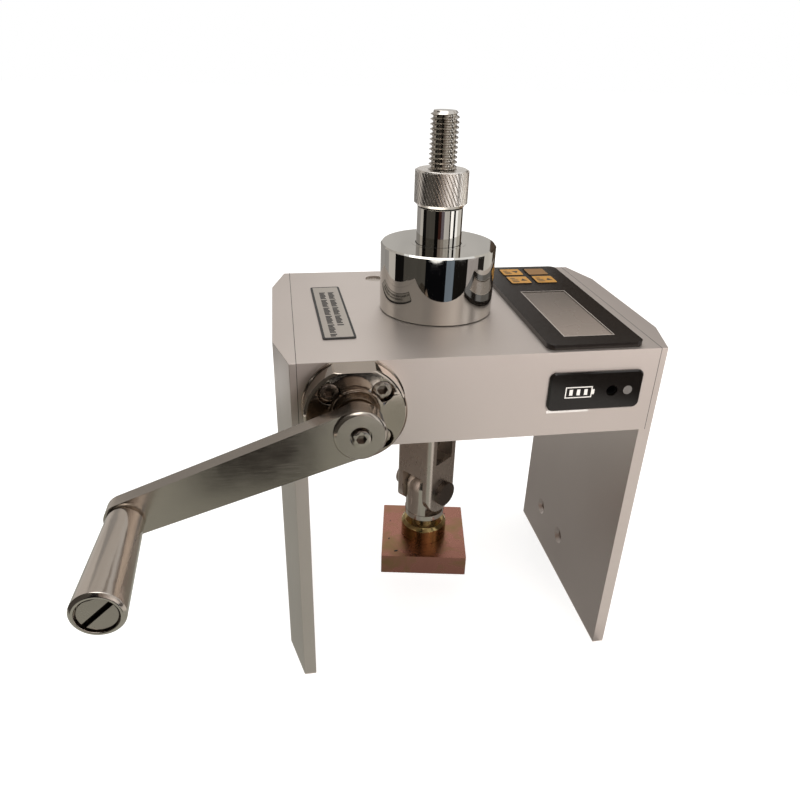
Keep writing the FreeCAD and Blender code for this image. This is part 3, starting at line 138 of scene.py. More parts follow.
# %% Aluminium of the casing
def bead_blasted_aluminium():
    material, tree, place = start_material("bead_blasted_aluminium")
    grain = add(tree, "ShaderNodeTexNoise", {"Vector": place, "Scale": per_mm(0.3), "Detail": 3.0})
    cloud = add(tree, "ShaderNodeTexNoise", {"Vector": place, "Scale": per_mm(45), "Detail": 4.0})
    tint = add(tree, "ShaderNodeMix", {0: cloud.outputs["Fac"], 6: linear("#d3cac4"), 7: linear("#c9c0ba")},
               data_type="RGBA")
    rough = add(tree, "ShaderNodeMapRange", {"Value": grain.outputs["Fac"], "To Min": 0.36, "To Max": 0.5})
    bump = add(tree, "ShaderNodeBump", {"Height": grain.outputs["Fac"], "Strength": 0.25,
                                        "Distance": 0.03 * MM})
    close_material(tree, Base_Color=tint.outputs[2], Metallic=1.0, Roughness=rough.outputs[0],
                   Normal=bump.outputs[0])
    return material


# %% [markdown]
# ## Chrome, satin stainless steel and turned steel
# Chrome plate is nearly a mirror. The arm and grip are polished along their length until a faint
# lay remains, which stretches reflections, so their roughness follows a noise that is squeezed
# across the piece. Turned steel keeps fine rings round its axis. Screws get painted shade in
# their sockets and slots.

# %% Bright metals
def chrome_plate():
    material, tree, place = start_material("chrome_plate")
    haze = add(tree, "ShaderNodeTexNoise", {"Vector": place, "Scale": per_mm(12), "Detail": 5.0})
    rough = add(tree, "ShaderNodeMapRange", {"Value": haze.outputs["Fac"], "To Min": 0.015, "To Max": 0.05})
    close_material(tree, Base_Color=linear("#d4d1cb"), Metallic=1.0, Roughness=rough.outputs[0])
    return material


SOCKET_SHADE_START = 0.3 * MM      # depth at which the painted shade of a socket begins
SOCKET_SHADE_FULL = 1.1 * MM       # depth at which the painted shade is full


def polished_steel(name, colour, stretch, low, high, rim=None, socket_shade="#1c1815"):
    """Steel with a lay. stretch squeezes the pattern along each axis. Behind the rim, a level
    in Y, it darkens to the shade colour given: painted shade in a socket or a slot."""
    material, tree, place = start_material(name)
    tint = linear(colour)
    # Painted shade: deeper than the rim the colour darkens, as shade falls in a socket or a slot.
    if rim is not None:
        axis = add(tree, "ShaderNodeSeparateXYZ", {"Vector": place})
        depth = add(tree, "ShaderNodeMapRange", {"Value": axis.outputs["Y"], "From Min": rim + SOCKET_SHADE_START,
                                                 "From Max": rim + SOCKET_SHADE_FULL})
        tint = add(tree, "ShaderNodeMix", {0: depth.outputs[0], 6: tint, 7: linear(socket_shade)},
                   data_type="RGBA").outputs[2]
    along = add(tree, "ShaderNodeMapping", {"Vector": place, "Scale": stretch})
    lay = add(tree, "ShaderNodeTexNoise", {"Vector": along.outputs[0], "Scale": per_mm(0.5), "Detail": 4.0})
    haze = add(tree, "ShaderNodeTexNoise", {"Vector": place, "Scale": per_mm(9), "Detail": 3.0})
    both = add(tree, "ShaderNodeMath", {0: lay.outputs["Fac"], 1: haze.outputs["Fac"]}, operation="MULTIPLY")
    rough = add(tree, "ShaderNodeMapRange", {"Value": both.outputs[0], "From Max": 0.5,
                                             "To Min": low, "To Max": high})
    bump = add(tree, "ShaderNodeBump", {"Height": lay.outputs["Fac"], "Strength": 0.12,
                                        "Distance": 0.02 * MM})
    close_material(tree, Base_Color=tint, Metallic=1.0, Roughness=rough.outputs[0],
                   Normal=bump.outputs[0])
    return material


# %% [markdown]
# ## Black steel, bronze, brass and the copper dolly
# The washer under the nut is blacked with hot oxide, which leaves a dark, slightly oily metal. The dolly
# is copper that has been glued, heated and cleaned many times: pink copper with brassy yellow
# stains and a few dark specks of old glue.

# %% Dark and yellow metals
def black_oxide():
    material, tree, place = start_material("black_oxide_steel")
    wear = add(tree, "ShaderNodeTexNoise", {"Vector": place, "Scale": per_mm(1.5), "Detail": 6.0})
    tint = add(tree, "ShaderNodeMix", {0: wear.outputs["Fac"], 6: linear("#1d1e1c"), 7: linear("#3a3c38")},
               data_type="RGBA")
    rough = add(tree, "ShaderNodeMapRange", {"Value": wear.outputs["Fac"], "To Min": 0.2, "To Max": 0.5})
    close_material(tree, Base_Color=tint.outputs[2], Metallic=0.85, Roughness=rough.outputs[0])
    return material


def stained_metal(name, clean, stain, patch, amount, specks, low=0.22, high=0.5):
    """Yellow or red metal with soft stains. patch is their size, specks their share."""
    material, tree, place = start_material(name)
    cloud = add(tree, "ShaderNodeTexNoise", {"Vector": place, "Scale": per_mm(patch), "Detail": 5.0,
                                             "Roughness": 0.6, "Distortion": 0.6})
    mask = add(tree, "ShaderNodeMapRange", {"Value": cloud.outputs["Fac"], "From Min": 0.52 - amount,
                                            "From Max": 0.82 - amount})
    tint = add(tree, "ShaderNodeMix", {0: mask.outputs[0], 6: linear(clean), 7: linear(stain)},
               data_type="RGBA")
    fleck = add(tree, "ShaderNodeTexNoise", {"Vector": place, "Scale": per_mm(1.4), "Detail": 2.0})
    spot = add(tree, "ShaderNodeMapRange", {"Value": fleck.outputs["Fac"], "From Min": 0.78 - specks,
                                            "From Max": 0.8 - specks})
    dark = add(tree, "ShaderNodeMix", {0: spot.outputs[0], 6: tint.outputs[2], 7: linear("#2a1c14")},
               data_type="RGBA")
    rough = add(tree, "ShaderNodeMapRange", {"Value": cloud.outputs["Fac"], "To Min": low, "To Max": high})
    scratch = add(tree, "ShaderNodeTexNoise", {"Vector": place, "Scale": per_mm(0.4), "Detail": 3.0})
    bump = add(tree, "ShaderNodeBump", {"Height": scratch.outputs["Fac"], "Strength": 0.2,
                                        "Distance": 0.03 * MM})
    close_material(tree, Base_Color=dark.outputs[2], Metallic=1.0, Roughness=rough.outputs[0],
                   Normal=bump.outputs[0])
    return material


# %% [markdown]
# ## Plastics, rubber, glass and printing
# The display cover is a satin film and the front bezel gloss plastic. Moulded plastic and rubber
# have a fine even texture. The display is a grey liquid crystal glass behind a hazy window, both
# with painted shading that is lighter at the front. Print is a matt ink with slightly uneven cover.

# %% Plastics and print
def moulded(name, colour, low, high, grain):
    """Plastic, rubber or ink: one colour with a slight mottle and a fine bump."""
    material, tree, place = start_material(name)
    noise = add(tree, "ShaderNodeTexNoise", {"Vector": place, "Scale": per_mm(grain), "Detail": 4.0})
    shade = add(tree, "ShaderNodeHueSaturation", {"Color": linear(colour)})
    level = add(tree, "ShaderNodeMapRange", {"Value": noise.outputs["Fac"], "To Min": 0.88, "To Max": 1.12})
    tree.links.new(level.outputs[0], shade.inputs["Value"])
    rough = add(tree, "ShaderNodeMapRange", {"Value": noise.outputs["Fac"], "To Min": low, "To Max": high})
    bump = add(tree, "ShaderNodeBump", {"Height": noise.outputs["Fac"], "Strength": 0.08,
                                        "Distance": 0.02 * MM})
    close_material(tree, Base_Color=shade.outputs[0], Roughness=rough.outputs[0], Normal=bump.outputs[0])
    return material


def display_face():
    """Grey liquid crystal glass with painted shading: a little lighter towards its front end."""
    material, tree, place = start_material("liquid_crystal_glass")
    low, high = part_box("display_module")
    axis = add(tree, "ShaderNodeSeparateXYZ", {"Vector": place})
    # Painted shading: lighter at the front, darker towards the back.
    painted_shading = add(tree, "ShaderNodeMapRange", {"Value": axis.outputs["Y"], "From Min": low.y, "From Max": high.y})
    film = add(tree, "ShaderNodeTexNoise", {"Vector": place, "Scale": per_mm(0.6), "Detail": 2.0})
    both = add(tree, "ShaderNodeMath", {0: film.outputs["Fac"], 1: 0.15, 2: painted_shading.outputs[0]},
               operation="MULTIPLY_ADD")
    tint = add(tree, "ShaderNodeMix", {0: both.outputs[0], 6: linear("#8a7e75"), 7: linear("#77716c")},
               data_type="RGBA")
    close_material(tree, Base_Color=tint.outputs[2], Roughness=0.35)
    return material


def hazy_lens():
    """Anti-glare window: a matt grey film that hides most of what lies under it. Its colour carries painted
    shading, lighter at the front and darker towards the back.
    """
    material, tree, place = start_material("hazy_window")
    low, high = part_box("display_lens")
    axis = add(tree, "ShaderNodeSeparateXYZ", {"Vector": place})
    # Painted shading: lighter at the front, darker towards the back.
    painted_shading = add(tree, "ShaderNodeMapRange", {"Value": axis.outputs["Y"], "From Min": low.y, "From Max": high.y})
    haze = add(tree, "ShaderNodeTexNoise", {"Vector": place, "Scale": per_mm(14), "Detail": 2.0})
    both = add(tree, "ShaderNodeMath", {0: haze.outputs["Fac"], 1: 0.25, 2: painted_shading.outputs[0]},
               operation="MULTIPLY_ADD")
    tint = add(tree, "ShaderNodeMix", {0: both.outputs[0], 6: linear("#94887f"), 7: linear("#6c645d")},
               data_type="RGBA")
    rough = add(tree, "ShaderNodeMapRange", {"Value": haze.outputs["Fac"], "To Min": 0.22, "To Max": 0.32})
    close_material(tree, Base_Color=tint.outputs[2], Roughness=rough.outputs[0], IOR=1.49, Alpha=0.92)
    return material


# %% [markdown]
# ## Giving each CAD piece its finish
# A CAD mesh is loose triangles. Welding joins them. On the plates and the casing the triangles of
# each flat face are merged, because long slivers between screw holes would fold over under their
# wider bevel and show as dark lines. The bevel catches light along the edges, as a broken edge
# does on a real part, and weighted normals keep the flat faces flat. All are modifiers, so the
# mesh itself stays as CAD made it.

# %% Finishes of the CAD pieces
aluminium = bead_blasted_aluminium()
chrome = chrome_plate()
arm_steel = polished_steel("polished_stainless_along", "#b8afa5", (0.06, 1.0, 1.0), 0.12, 0.28)
grip_steel = polished_steel("polished_stainless_grip", "#cbc2b9", (1.0, 0.06, 1.0), 0.1, 0.2)
flange_steel = polished_steel("polished_stainless_flange", "#bcb0a4", (1.0, 1.0, 1.0), 0.05, 0.14)
milled_steel = polished_steel("milled_stainless", "#c6bdb4", (1.0, 1.0, 0.15), 0.22, 0.36)
eye_steel = polished_steel("polished_stainless_eye", "#c6bdb4", (1.0, 1.0, 0.15), 0.1, 0.2)
turned_steel = polished_steel("turned_steel", "#bdb7b0", (0.15, 0.15, 1.0), 0.14, 0.28)
knurl_steel = polished_steel("knurled_steel", "#e0dbd5", (1.0, 1.0, 1.0), 0.18, 0.3)
pin_steel = polished_steel("clevis_pin_steel", "#6f6862", (1.0, 1.0, 1.0), 0.1, 0.2)
thread_steel = polished_steel("thread_steel", "#c6c1ba", (1.0, 1.0, 1.0), 0.07, 0.12)
# The screws and the grip bolt get painted shade in their sockets and slot.
flange_screw_steel = polished_steel("flange_screw_steel", "#b3a89c", (1.0, 1.0, 1.0), 0.14, 0.26,
                                    rim=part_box("flange_screws")[0].y, socket_shade="#7d736a")
hub_screw_steel = polished_steel("hub_screw_steel", "#c0b7ac", (1.0, 1.0, 1.0), 0.14, 0.26,
                                 rim=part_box("hub_screw")[0].y, socket_shade="#8a8077")
grip_bolt_steel = polished_steel("grip_bolt_steel", "#bdb4ab", (1.0, 1.0, 1.0), 0.24, 0.36,
                                 rim=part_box("grip_bolt")[0].y)
black_steel = black_oxide()
bronze = stained_metal("bearing_bronze", "#a9804c", "#8a6236", 6.0, 0.05, -0.2)
oiled_bronze = stained_metal("oiled_bronze", "#4a3c2e", "#33291f", 4.0, 0.05, -0.2)
brass = stained_metal("dolly_brass", "#b29c6c", "#8f7c54", 5.0, 0.05, -0.2, 0.06, 0.18)
copper = stained_metal("copper_dolly", "#b07c6d", "#8f7c50", 12.0, 0.06, -0.2, 0.16, 0.4)
cover_film = moulded("matt_display_cover", "#150f0b", 0.2, 0.28, 2.0)
gloss_black = moulded("gloss_black_bezel", "#120f0d", 0.08, 0.14, 2.0)
rubber = moulded("black_rubber", "#16140f", 0.6, 0.75, 0.5)
black_moulding = moulded("black_moulding", "#131211", 0.45, 0.6, 0.5)
green_board = moulded("green_circuit_board", "#1d4a2c", 0.35, 0.5, 0.8)
lamp_plastic = moulded("milky_lamp", "#625f5c", 0.2, 0.3, 1.0)
gold_film = moulded("golden_key_film", "#b07c22", 0.4, 0.55, 1.5)
orange_film = moulded("orange_key_film", "#7f5926", 0.4, 0.55, 1.5)
black_ink = moulded("black_ink", "#0f0c09", 0.4, 0.55, 0.3)
grey_ink = moulded("grey_ink", "#2a2520", 0.4, 0.55, 0.3)
pale_ink = moulded("pale_ink", "#b3a9a0", 0.35, 0.5, 0.3)
# White ink for the battery sign; the same material makes the painted highlight under the bezel.
white_ink_and_painted_highlight = moulded("white_ink_and_painted_highlight", "#cfccc7", 0.45, 0.6, 0.3)
label_foil = polished_steel("label_foil", "#b9b2aa", (1.0, 0.1, 1.0), 0.3, 0.45)
lcd_glass = display_face()
lens = hazy_lens()

FINISHES = (
    (aluminium, "side_plate_left side_plate_right casing base_plate"),
    (chrome, "tower_cap sleeve"),
    (arm_steel, "crank_arm"),
    (grip_steel, "grip"),
    (grip_bolt_steel, "grip_bolt"),
    (flange_steel, "bearing_flange"),
    (flange_screw_steel, "flange_screws"),
    (hub_screw_steel, "hub_screw"),
    (milled_steel, "clevis_cage top_plug pin_clip"),
    (eye_steel, "eye_stud"),
    (turned_steel, "pull_rod rod_end_cap ball_nut crank_shaft worm lift_spindle load_cell race_lower"
                   " race_upper thrust_rollers guide_keys hub_key worm_pin plate_screws base_screws"
                   " tower_screws cell_screws"),
    (knurl_steel, "knurled_nut"),
    (pin_steel, "clevis_pin"),
    (black_steel, "nut_washer"),
    (bronze, "worm_wheel upper_bush thrust_cage"),
    (oiled_bronze, "front_bush rear_bush"),
    (brass, "dolly_boss"),
    (copper, "dolly_block"),
    (rubber, "tower_gasket sleeve_seal"),
    (cover_film, "display_panel key_1 key_2 key_3 key_4"),
    (gloss_black, "charge_panel"),
    (lens, "display_lens"),
    (lcd_glass, "display_module"),
    (green_board, "main_board"),
    (black_moulding, "key_switches charge_jack battery_pack"),
    (lamp_plastic, "charge_lamp"),
    (black_ink, "name_plate"),
)
LARGE_FLATS = "side_plate_left side_plate_right casing"
UNBROKEN_EDGES = "charge_panel charge_lamp"

WELD = 0.002 * MM
EDGE = 0.16 * MM
BROAD_EDGE = 0.32 * MM      # makes the joints between plates and casing show as fine grooves
EDGE_ANGLE = math.radians(28)
FLAT_ANGLE = math.radians(0.4)


def sharp_shading(piece, angle=EDGE_ANGLE):
    """Splits the shading at edges sharper than an angle."""
    split = piece.modifiers.new("sharp", "EDGE_SPLIT")
    split.split_angle = angle


def soften(piece):
    """Weld, bevel the sharp edges and keep flat faces flat. Large flats are merged first."""
    for polygon in piece.data.polygons:
        polygon.use_smooth = True
    weld = piece.modifiers.new("weld", "WELD")
    weld.merge_threshold = WELD
    if piece.name in UNBROKEN_EDGES.split():
        sharp_shading(piece)
        return
    large = piece.name in LARGE_FLATS.split()
    if large:
        merge = piece.modifiers.new("flats", "DECIMATE")
        merge.decimate_type = "DISSOLVE"
        merge.angle_limit = FLAT_ANGLE
    bevel = piece.modifiers.new("edges", "BEVEL")
    bevel.width = BROAD_EDGE if large else EDGE
    bevel.segments = 2
    bevel.limit_method = "ANGLE"
    bevel.angle_limit = EDGE_ANGLE
    bevel.use_clamp_overlap = True
    bevel.harden_normals = False
    normals = piece.modifiers.new("normals", "WEIGHTED_NORMAL")
    normals.keep_sharp = False
    normals.weight = 80


def paint(piece, material):
    """One material on the whole piece."""
    piece.data.materials.clear()
    piece.data.materials.append(material)


painted = set()
for material, names in FINISHES:
    for name in names.split():
        paint(nodes[name], material)
        soften(nodes[name])
        painted.add(name)
print("not painted:", sorted(set(nodes) - painted))

# %% [markdown]
# ## Building new pieces
# New pieces are made with bmesh operators from a first circle or a few points. Each is written
# in its place, so its object stays at the origin like the CAD pieces, and then rides on the body
# that carries it.

# %% Helpers for new pieces
def finish_piece(bm, name, body, material, *replaced, smooth=True):
    """Turns a bmesh into a piece that rides on a body."""
    bmesh.ops.recalc_face_normals(bm, faces=bm.faces)
    mesh = bpy.data.meshes.new(name)
    bm.to_mesh(mesh)
    bm.free()
    for polygon in mesh.polygons:
        polygon.use_smooth = smooth
    piece = bpy.data.objects.new(name, mesh)
    bpy.context.collection.objects.link(piece)
    paint(piece, material)
    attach(piece, body)
    if replaced:
        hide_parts(*replaced)
    return piece


def polar(vert):
    """Distance of a vertex from the pull axis."""
    return math.hypot(vert.co.x, vert.co.y)


def set_radius(verts, radius):
    """Puts vertices at one distance from the pull axis."""
    for vert in verts:
        factor = radius / polar(vert)
        vert.co.x *= factor
        vert.co.y *= factor


def grow_ring(bm, edges, radius, z, turn=0.0, keep=False):
    """Extrudes a closed ring of edges to a new height and radius, and returns the new ring."""
    made = bmesh.ops.extrude_edge_only(bm, edges=edges)["geom"]
    verts = [g for g in made if isinstance(g, bmesh.types.BMVert)]
    for vert in verts:
        vert.co.z = z
    if not keep:
        set_radius(verts, radius)
    if turn:
        bmesh.ops.rotate(bm, verts=verts, cent=(0, 0, 0), matrix=Matrix.Rotation(turn, 3, "Z"))
    return [g for g in made if isinstance(g, bmesh.types.BMEdge)]


# %% [markdown]
# ## The threaded pull rod
# A rolled metric thread, 10.8 mm over its crests. It could be a bump, but the outline of the rod
# shows its teeth, so it is real geometry: one tooth outline, spun once round the axis while it
# climbs one pitch, then copied upwards. Neighbouring turns meet exactly and are merged.

# %% Pull rod
ROD_PITCH = 1.75 * MM
THREAD_DEPTH = 1.0 * MM
STEPS_A_TURN = 60
ROD_CHAMFER = 1.2 * MM
rod_low, rod_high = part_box("pull_rod")
ROD_CREST = rod_high.x
ROD_NECK_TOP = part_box("clevis_cage")[1].z + 5 * MM


def threaded_bar(name, crest, depth, pitch, bottom, top, body, material):
    """Right-handed thread between two heights."""
    bm = bmesh.new()
    root = crest - depth
    start = bottom - pitch
    outline = ((root, 0.0), (root, 0.12), (crest, 0.46), (crest, 0.6), (root, 0.94), (root, 1.0))
    verts = [bm.verts.new((radius, 0, start + share * pitch)) for radius, share in outline]
    edges = [bm.edges.new(pair) for pair in zip(verts, verts[1:])]
    turns = math.ceil((top - bottom) / pitch) + 2
    bmesh.ops.spin(bm, geom=verts + edges, cent=(0, 0, 0), axis=(0, 0, 1), angle=2 * math.pi,
                   dvec=(0, 0, pitch / STEPS_A_TURN), steps=STEPS_A_TURN)
    one_turn = bm.verts[:] + bm.edges[:] + bm.faces[:]
    for number in range(1, turns):
        copy = bmesh.ops.duplicate(bm, geom=one_turn)["geom"]
        bmesh.ops.translate(bm, verts=[g for g in copy if isinstance(g, bmesh.types.BMVert)],
                            vec=(0, 0, number * pitch))
    bmesh.ops.remove_doubles(bm, verts=bm.verts, dist=0.01 * MM)
    for height, normal in ((bottom, -1), (top, 1)):
        geometry = bm.verts[:] + bm.edges[:] + bm.faces[:]
        cut = bmesh.ops.bisect_plane(bm, geom=geometry, plane_co=(0, 0, height),
                                     plane_no=(0, 0, normal), clear_outer=True)["geom_cut"]
        rim = [g for g in cut if isinstance(g, bmesh.types.BMEdge)]
        bmesh.ops.holes_fill(bm, edges=rim)
    for vert in bm.verts:
        limit = crest - max(0.0, vert.co.z - (top - ROD_CHAMFER))
        if polar(vert) > limit:
            set_radius([vert], limit)
    piece = finish_piece(bm, name, body, material)
    sharp_shading(piece)
    return piece


rod_thread = threaded_bar("pull_rod_thread", ROD_CREST, THREAD_DEPTH, ROD_PITCH,
                          ROD_NECK_TOP, rod_high.z, "rod", thread_steel)
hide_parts("pull_rod")


ROD_NECK_RADIUS = 3.2 * MM


def rod_neck():
    """Plain neck under the thread, down to the ball nut."""
    bm = bmesh.new()
    neck = ROD_NECK_RADIUS
    bmesh.ops.create_circle(bm, segments=64, radius=neck, cap_ends=True)
    bmesh.ops.translate(bm, verts=bm.verts, vec=(0, 0, rod_low.z))
    ring = [e for e in bm.edges]
    ring = grow_ring(bm, ring, neck, ROD_NECK_TOP - 1 * MM)
    ring = grow_ring(bm, ring, ROD_CREST - THREAD_DEPTH, ROD_NECK_TOP)
    bmesh.ops.holes_fill(bm, edges=ring)
    return finish_piece(bm, "pull_rod_neck", "rod", turned_steel)


sharp_shading(rod_neck())
print("thread faces:", len(rod_thread.data.polygons))

# %% [markdown]
# ## The knurled nut
# The nut is rolled with slanted grooves that give the fingers hold. Each groove is a narrow
# valley beside a wider land, so the ring starts with every fifth point pushed in, and each level
# is turned a little as it rises. The ends are turned smooth with a chamfer.

# %% Knurled nut
KNURL_COUNT = 48
KNURL_STEPS = 5             # points for each groove and the land beside it
KNURL_DEPTH = 0.5 * MM
KNURL_LEVELS = 10
KNURL_TURN = math.radians(-31)
NUT_FOOT_EDGE = 1.1 * MM
NUT_TOP_EDGE = 0.5 * MM
nut_low, nut_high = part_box("knurled_nut")
NUT_RADIUS = nut_high.x


def knurled_nut():
    bm = bmesh.new()
    bore = ROD_CREST + 0.05 * MM
    bmesh.ops.create_circle(bm, segments=KNURL_STEPS * KNURL_COUNT, radius=bore)
    bmesh.ops.translate(bm, verts=bm.verts, vec=(0, 0, nut_low.z))
    first = bm.edges[:]
    low = nut_low.z + NUT_FOOT_EDGE
    high = nut_high.z - NUT_TOP_EDGE
    ring = grow_ring(bm, first, NUT_RADIUS - NUT_FOOT_EDGE, nut_low.z)
    ring = grow_ring(bm, ring, NUT_RADIUS - KNURL_DEPTH, low)
    for level in range(KNURL_LEVELS + 1):
        z = low + (high - low) * level / KNURL_LEVELS
        turn = KNURL_TURN / KNURL_LEVELS if level else 0.0
        ring = grow_ring(bm, ring, NUT_RADIUS, z, turn, keep=level > 0)
        if level == 0:
            verts = sorted({v for e in ring for v in e.verts}, key=lambda v: math.atan2(v.co.y, v.co.x))
            set_radius(verts[::KNURL_STEPS], NUT_RADIUS - KNURL_DEPTH)
    ring = grow_ring(bm, ring, NUT_RADIUS - KNURL_DEPTH, high)
    ring = grow_ring(bm, ring, NUT_RADIUS - KNURL_DEPTH - 0.1 * MM, high + 0.3 * MM)
    ring = grow_ring(bm, ring, NUT_RADIUS - KNURL_DEPTH - 0.4 * MM, nut_high.z)
    ring = grow_ring(bm, ring, bore, nut_high.z)
    ring = grow_ring(bm, ring, bore, nut_low.z, -KNURL_TURN)
    bmesh.ops.remove_doubles(bm, verts=bm.verts, dist=0.002 * MM)
    return finish_piece(bm, "knurled_hand_nut", "hand_nut", knurl_steel, "knurled_nut", smooth=False)


nut = knurled_nut()
print("nut faces:", len(nut.data.polygons))

# %% [markdown]
# ## Printing on the keys, the name plate and the bezel
# The real ones carry words and marks. Here they get plain generic signs: arrows and bars on the
# keys, two rows of short marks on the name plate, and a battery sign beside the charging jack.
# Each sign is a thin raised film, made from flat outlines that are extruded by a few hundredths
# of a millimetre.

# %% Printed signs
FILM = 0.03 * MM


def film(name, outlines, level, body, material, axis="Z", outward=1, height=FILM):
    """Flat outlines raised into a film. axis is the one they face along."""
    bm = bmesh.new()
    for outline in outlines:
        verts = []
        for a, b in outline:
            point = (a, b, level) if axis == "Z" else (a, level, b)
            verts.append(bm.verts.new(point))
        bm.faces.new(verts)
    raised = bmesh.ops.extrude_face_region(bm, geom=bm.faces[:])["geom"]
    verts = [g for g in raised if isinstance(g, bmesh.types.BMVert)]
    lift = (0, 0, height * outward) if axis == "Z" else (0, height * outward, 0)
    bmesh.ops.translate(bm, verts=verts, vec=lift)
    return finish_piece(bm, name, body, material, smooth=False)


def bar(x0, x1, y0, y1):
    """Rectangle outline."""
    return [(x0, y0), (x1, y0), (x1, y1), (x0, y1)]


def rounded_bar(x0, x1, y0, y1, radius):
    """Rectangle outline with round corners."""
    points = []
    for cx, cy, start in ((x1 - radius, y1 - radius, 0), (x0 + radius, y1 - radius, 90),
                          (x0 + radius, y0 + radius, 180), (x1 - radius, y0 + radius, 270)):
        for step in range(6):
            angle = math.radians(start + step * 18)
            points.append((cx + radius * math.cos(angle), cy + radius * math.sin(angle)))
    return points


KEYS = {        # body, film, its front and back end in mm, which way the arrow points
    "key_1": ("key_a", gold_film, 32.1, 40.9, -1),
    "key_2": ("key_b", orange_film, 32.1, 40.9, 0),
    "key_3": ("key_c", gold_film, 20.2, 29.6, 1),
    "key_4": ("key_d", gold_film, 20.2, 29.6, 1),
}


def key_signs():
    """Golden film on each key, with an arrow and bars on three of them."""
    for node, (body, colour, front, back, way) in KEYS.items():
        low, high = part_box(node)
        x0, x1 = low.x + 0.15 * MM, high.x - 0.4 * MM
        y0, y1 = front * MM, back * MM
        film(node + "_film", [rounded_bar(x0, x1, y0, y1, 0.8 * MM)], high.z, body, colour)
        if not way:
            continue
        wide = x1 - x0
        long = y1 - y0
        half = 1.5 * MM
        mid_y = (y0 + y1) / 2
        tip = x0 + wide * 0.72
        arrow = [(tip - half, mid_y - way * half), (tip + half, mid_y - way * half), (tip, mid_y + way * half)]
        outlines = [arrow[::way]]
        for share in (0.2, 0.42, 0.64):
            y = y0 + long * share
            outlines.append(bar(x0 + wide * 0.12, x0 + wide * (0.34 + 0.1 * (share < 0.5)), y, y + long * 0.1))
        film(node + "_sign", outlines, high.z + FILM, body, black_ink)


def frame_outlines(x0, x1, y0, y1, width):
    """Four bars that make a border."""
    return [bar(x0, x1, y0, y0 + width), bar(x0, x1, y1 - width, y1),
            bar(x0, x0 + width, y0 + width, y1 - width), bar(x1 - width, x1, y0 + width, y1 - width)]


LABEL_SIZE = (12.5 * MM, 59.0 * MM)
LABEL_CENTRE = (-43.3 * MM, -2.0 * MM)
LABEL_TURN = math.radians(1.7)
LABEL_BORDER = 0.9 * MM
MARK_ROWS = ((-3.1 * MM, -27.5 * MM), (0.6 * MM, -17.0 * MM))     # left edge and lower end of each row
MARK_TOP = 22.0 * MM
MARK_HEIGHT = 1.2 * MM
MARK_WIDTHS = (2.5, 1.9, 2.3)                                     # mm, by turns
MARK_STEPS = (1.45, 1.45, 1.45, 1.45, 1.45, 2.2)                  # mm, the last one leaves a gap


def label_print():
    """Name plate with a black border, and two rows of marks that stand for its small print."""
    low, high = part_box("name_plate")
    x, y = LABEL_SIZE[0] / 2, LABEL_SIZE[1] / 2

    def placed(outlines):
        turned = []
        for outline in outlines:
            points = [Matrix.Rotation(LABEL_TURN, 2) @ Vector(p) for p in outline]
            turned.append([(p.x + LABEL_CENTRE[0], p.y + LABEL_CENTRE[1]) for p in points])
        return turned

    plate = film("name_plate_body", placed([rounded_bar(-x, x, -y, y, 1.0 * MM)]), low.z, "root", black_ink,
                 height=high.z - low.z)
    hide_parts("name_plate")
    x, y = x - LABEL_BORDER, y - LABEL_BORDER
    film("name_plate_foil", placed([rounded_bar(-x, x, -y, y, 0.5 * MM)]), high.z, "root", label_foil)
    marks = []
    for left, stop in MARK_ROWS:
        top = MARK_TOP
        number = 0
        while top > stop:
            wide = MARK_WIDTHS[number % 3] * MM
            marks.append(bar(left, left + wide, top - MARK_HEIGHT, top))
            top -= MARK_STEPS[number % 6] * MM
            number += 1
    film("name_plate_print", placed(marks), high.z + FILM, "root", grey_ink)


def bezel_sign():
    """Battery outline with three cells, where the rating stands on the real one."""
    low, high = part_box("charge_panel")
    x0 = low.x + 6.2 * MM
    x1 = x0 + 10.5 * MM
    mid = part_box("charge_lamp")[0].z + 1.8 * MM
    half = 2.3 * MM
    outlines = frame_outlines(x0, x1, mid - half, mid + half, 0.4 * MM)
    outlines.append(bar(x1, x1 + 0.9 * MM, mid - 1.0 * MM, mid + 1.0 * MM))
    for cell in range(3):
        left = x0 + (1.3 + cell * 2.9) * MM
        outlines.append(bar(left + 0.3 * MM, left + 1.6 * MM, mid - 1.2 * MM, mid + 1.2 * MM))
    film("bezel_sign", outlines, low.y, "root", white_ink_and_painted_highlight, axis="Y", outward=-1)


def window_line():
    """Fine pale line round the display window, where its film ends."""
    low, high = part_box("display_lens")
    width = 0.3 * MM
    film("window_line", frame_outlines(low.x - width, high.x + width, low.y - width, high.y + width, width),
         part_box("display_panel")[1].z, "root", pale_ink)


key_signs()
label_print()
bezel_sign()
window_line()
print("signs on", len(KEYS), "keys, the name plate and the bezel")

# %% [markdown]
# ## Small things that the eye misses when they are absent
# Under the bezel a white strip is a painted highlight, standing for the lit lower wall of the milled
# seat, and the joints of the side plates show as fine dark lines. The cap of the tower has a thin rolled
# lip that hides the wiper ring up to a fine gap round the sleeve. The dolly carries a few crumbs
# of old glue.

# %% Painted seat highlight, lip and glue
SEAT_HIGHLIGHT_LENGTH = 16.6 * MM
SEAT_HIGHLIGHT_DROP = 1.2 * MM
GLUE_HEIGHT = 0.12 * MM


def painted_seat_highlight():
    """Painted highlight: a white strip on the casing under the left half of the bezel, standing for the lit
    lower wall of the milled seat.
    """
    low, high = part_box("charge_panel")
    left = low.x + 0.4 * MM
    outline = bar(left, left + SEAT_HIGHLIGHT_LENGTH, low.z - SEAT_HIGHLIGHT_DROP, low.z)
    film("bezel_seat_painted_highlight", [outline], high.y, "root", white_ink_and_painted_highlight, axis="Y", outward=-1, height=0.1 * MM)


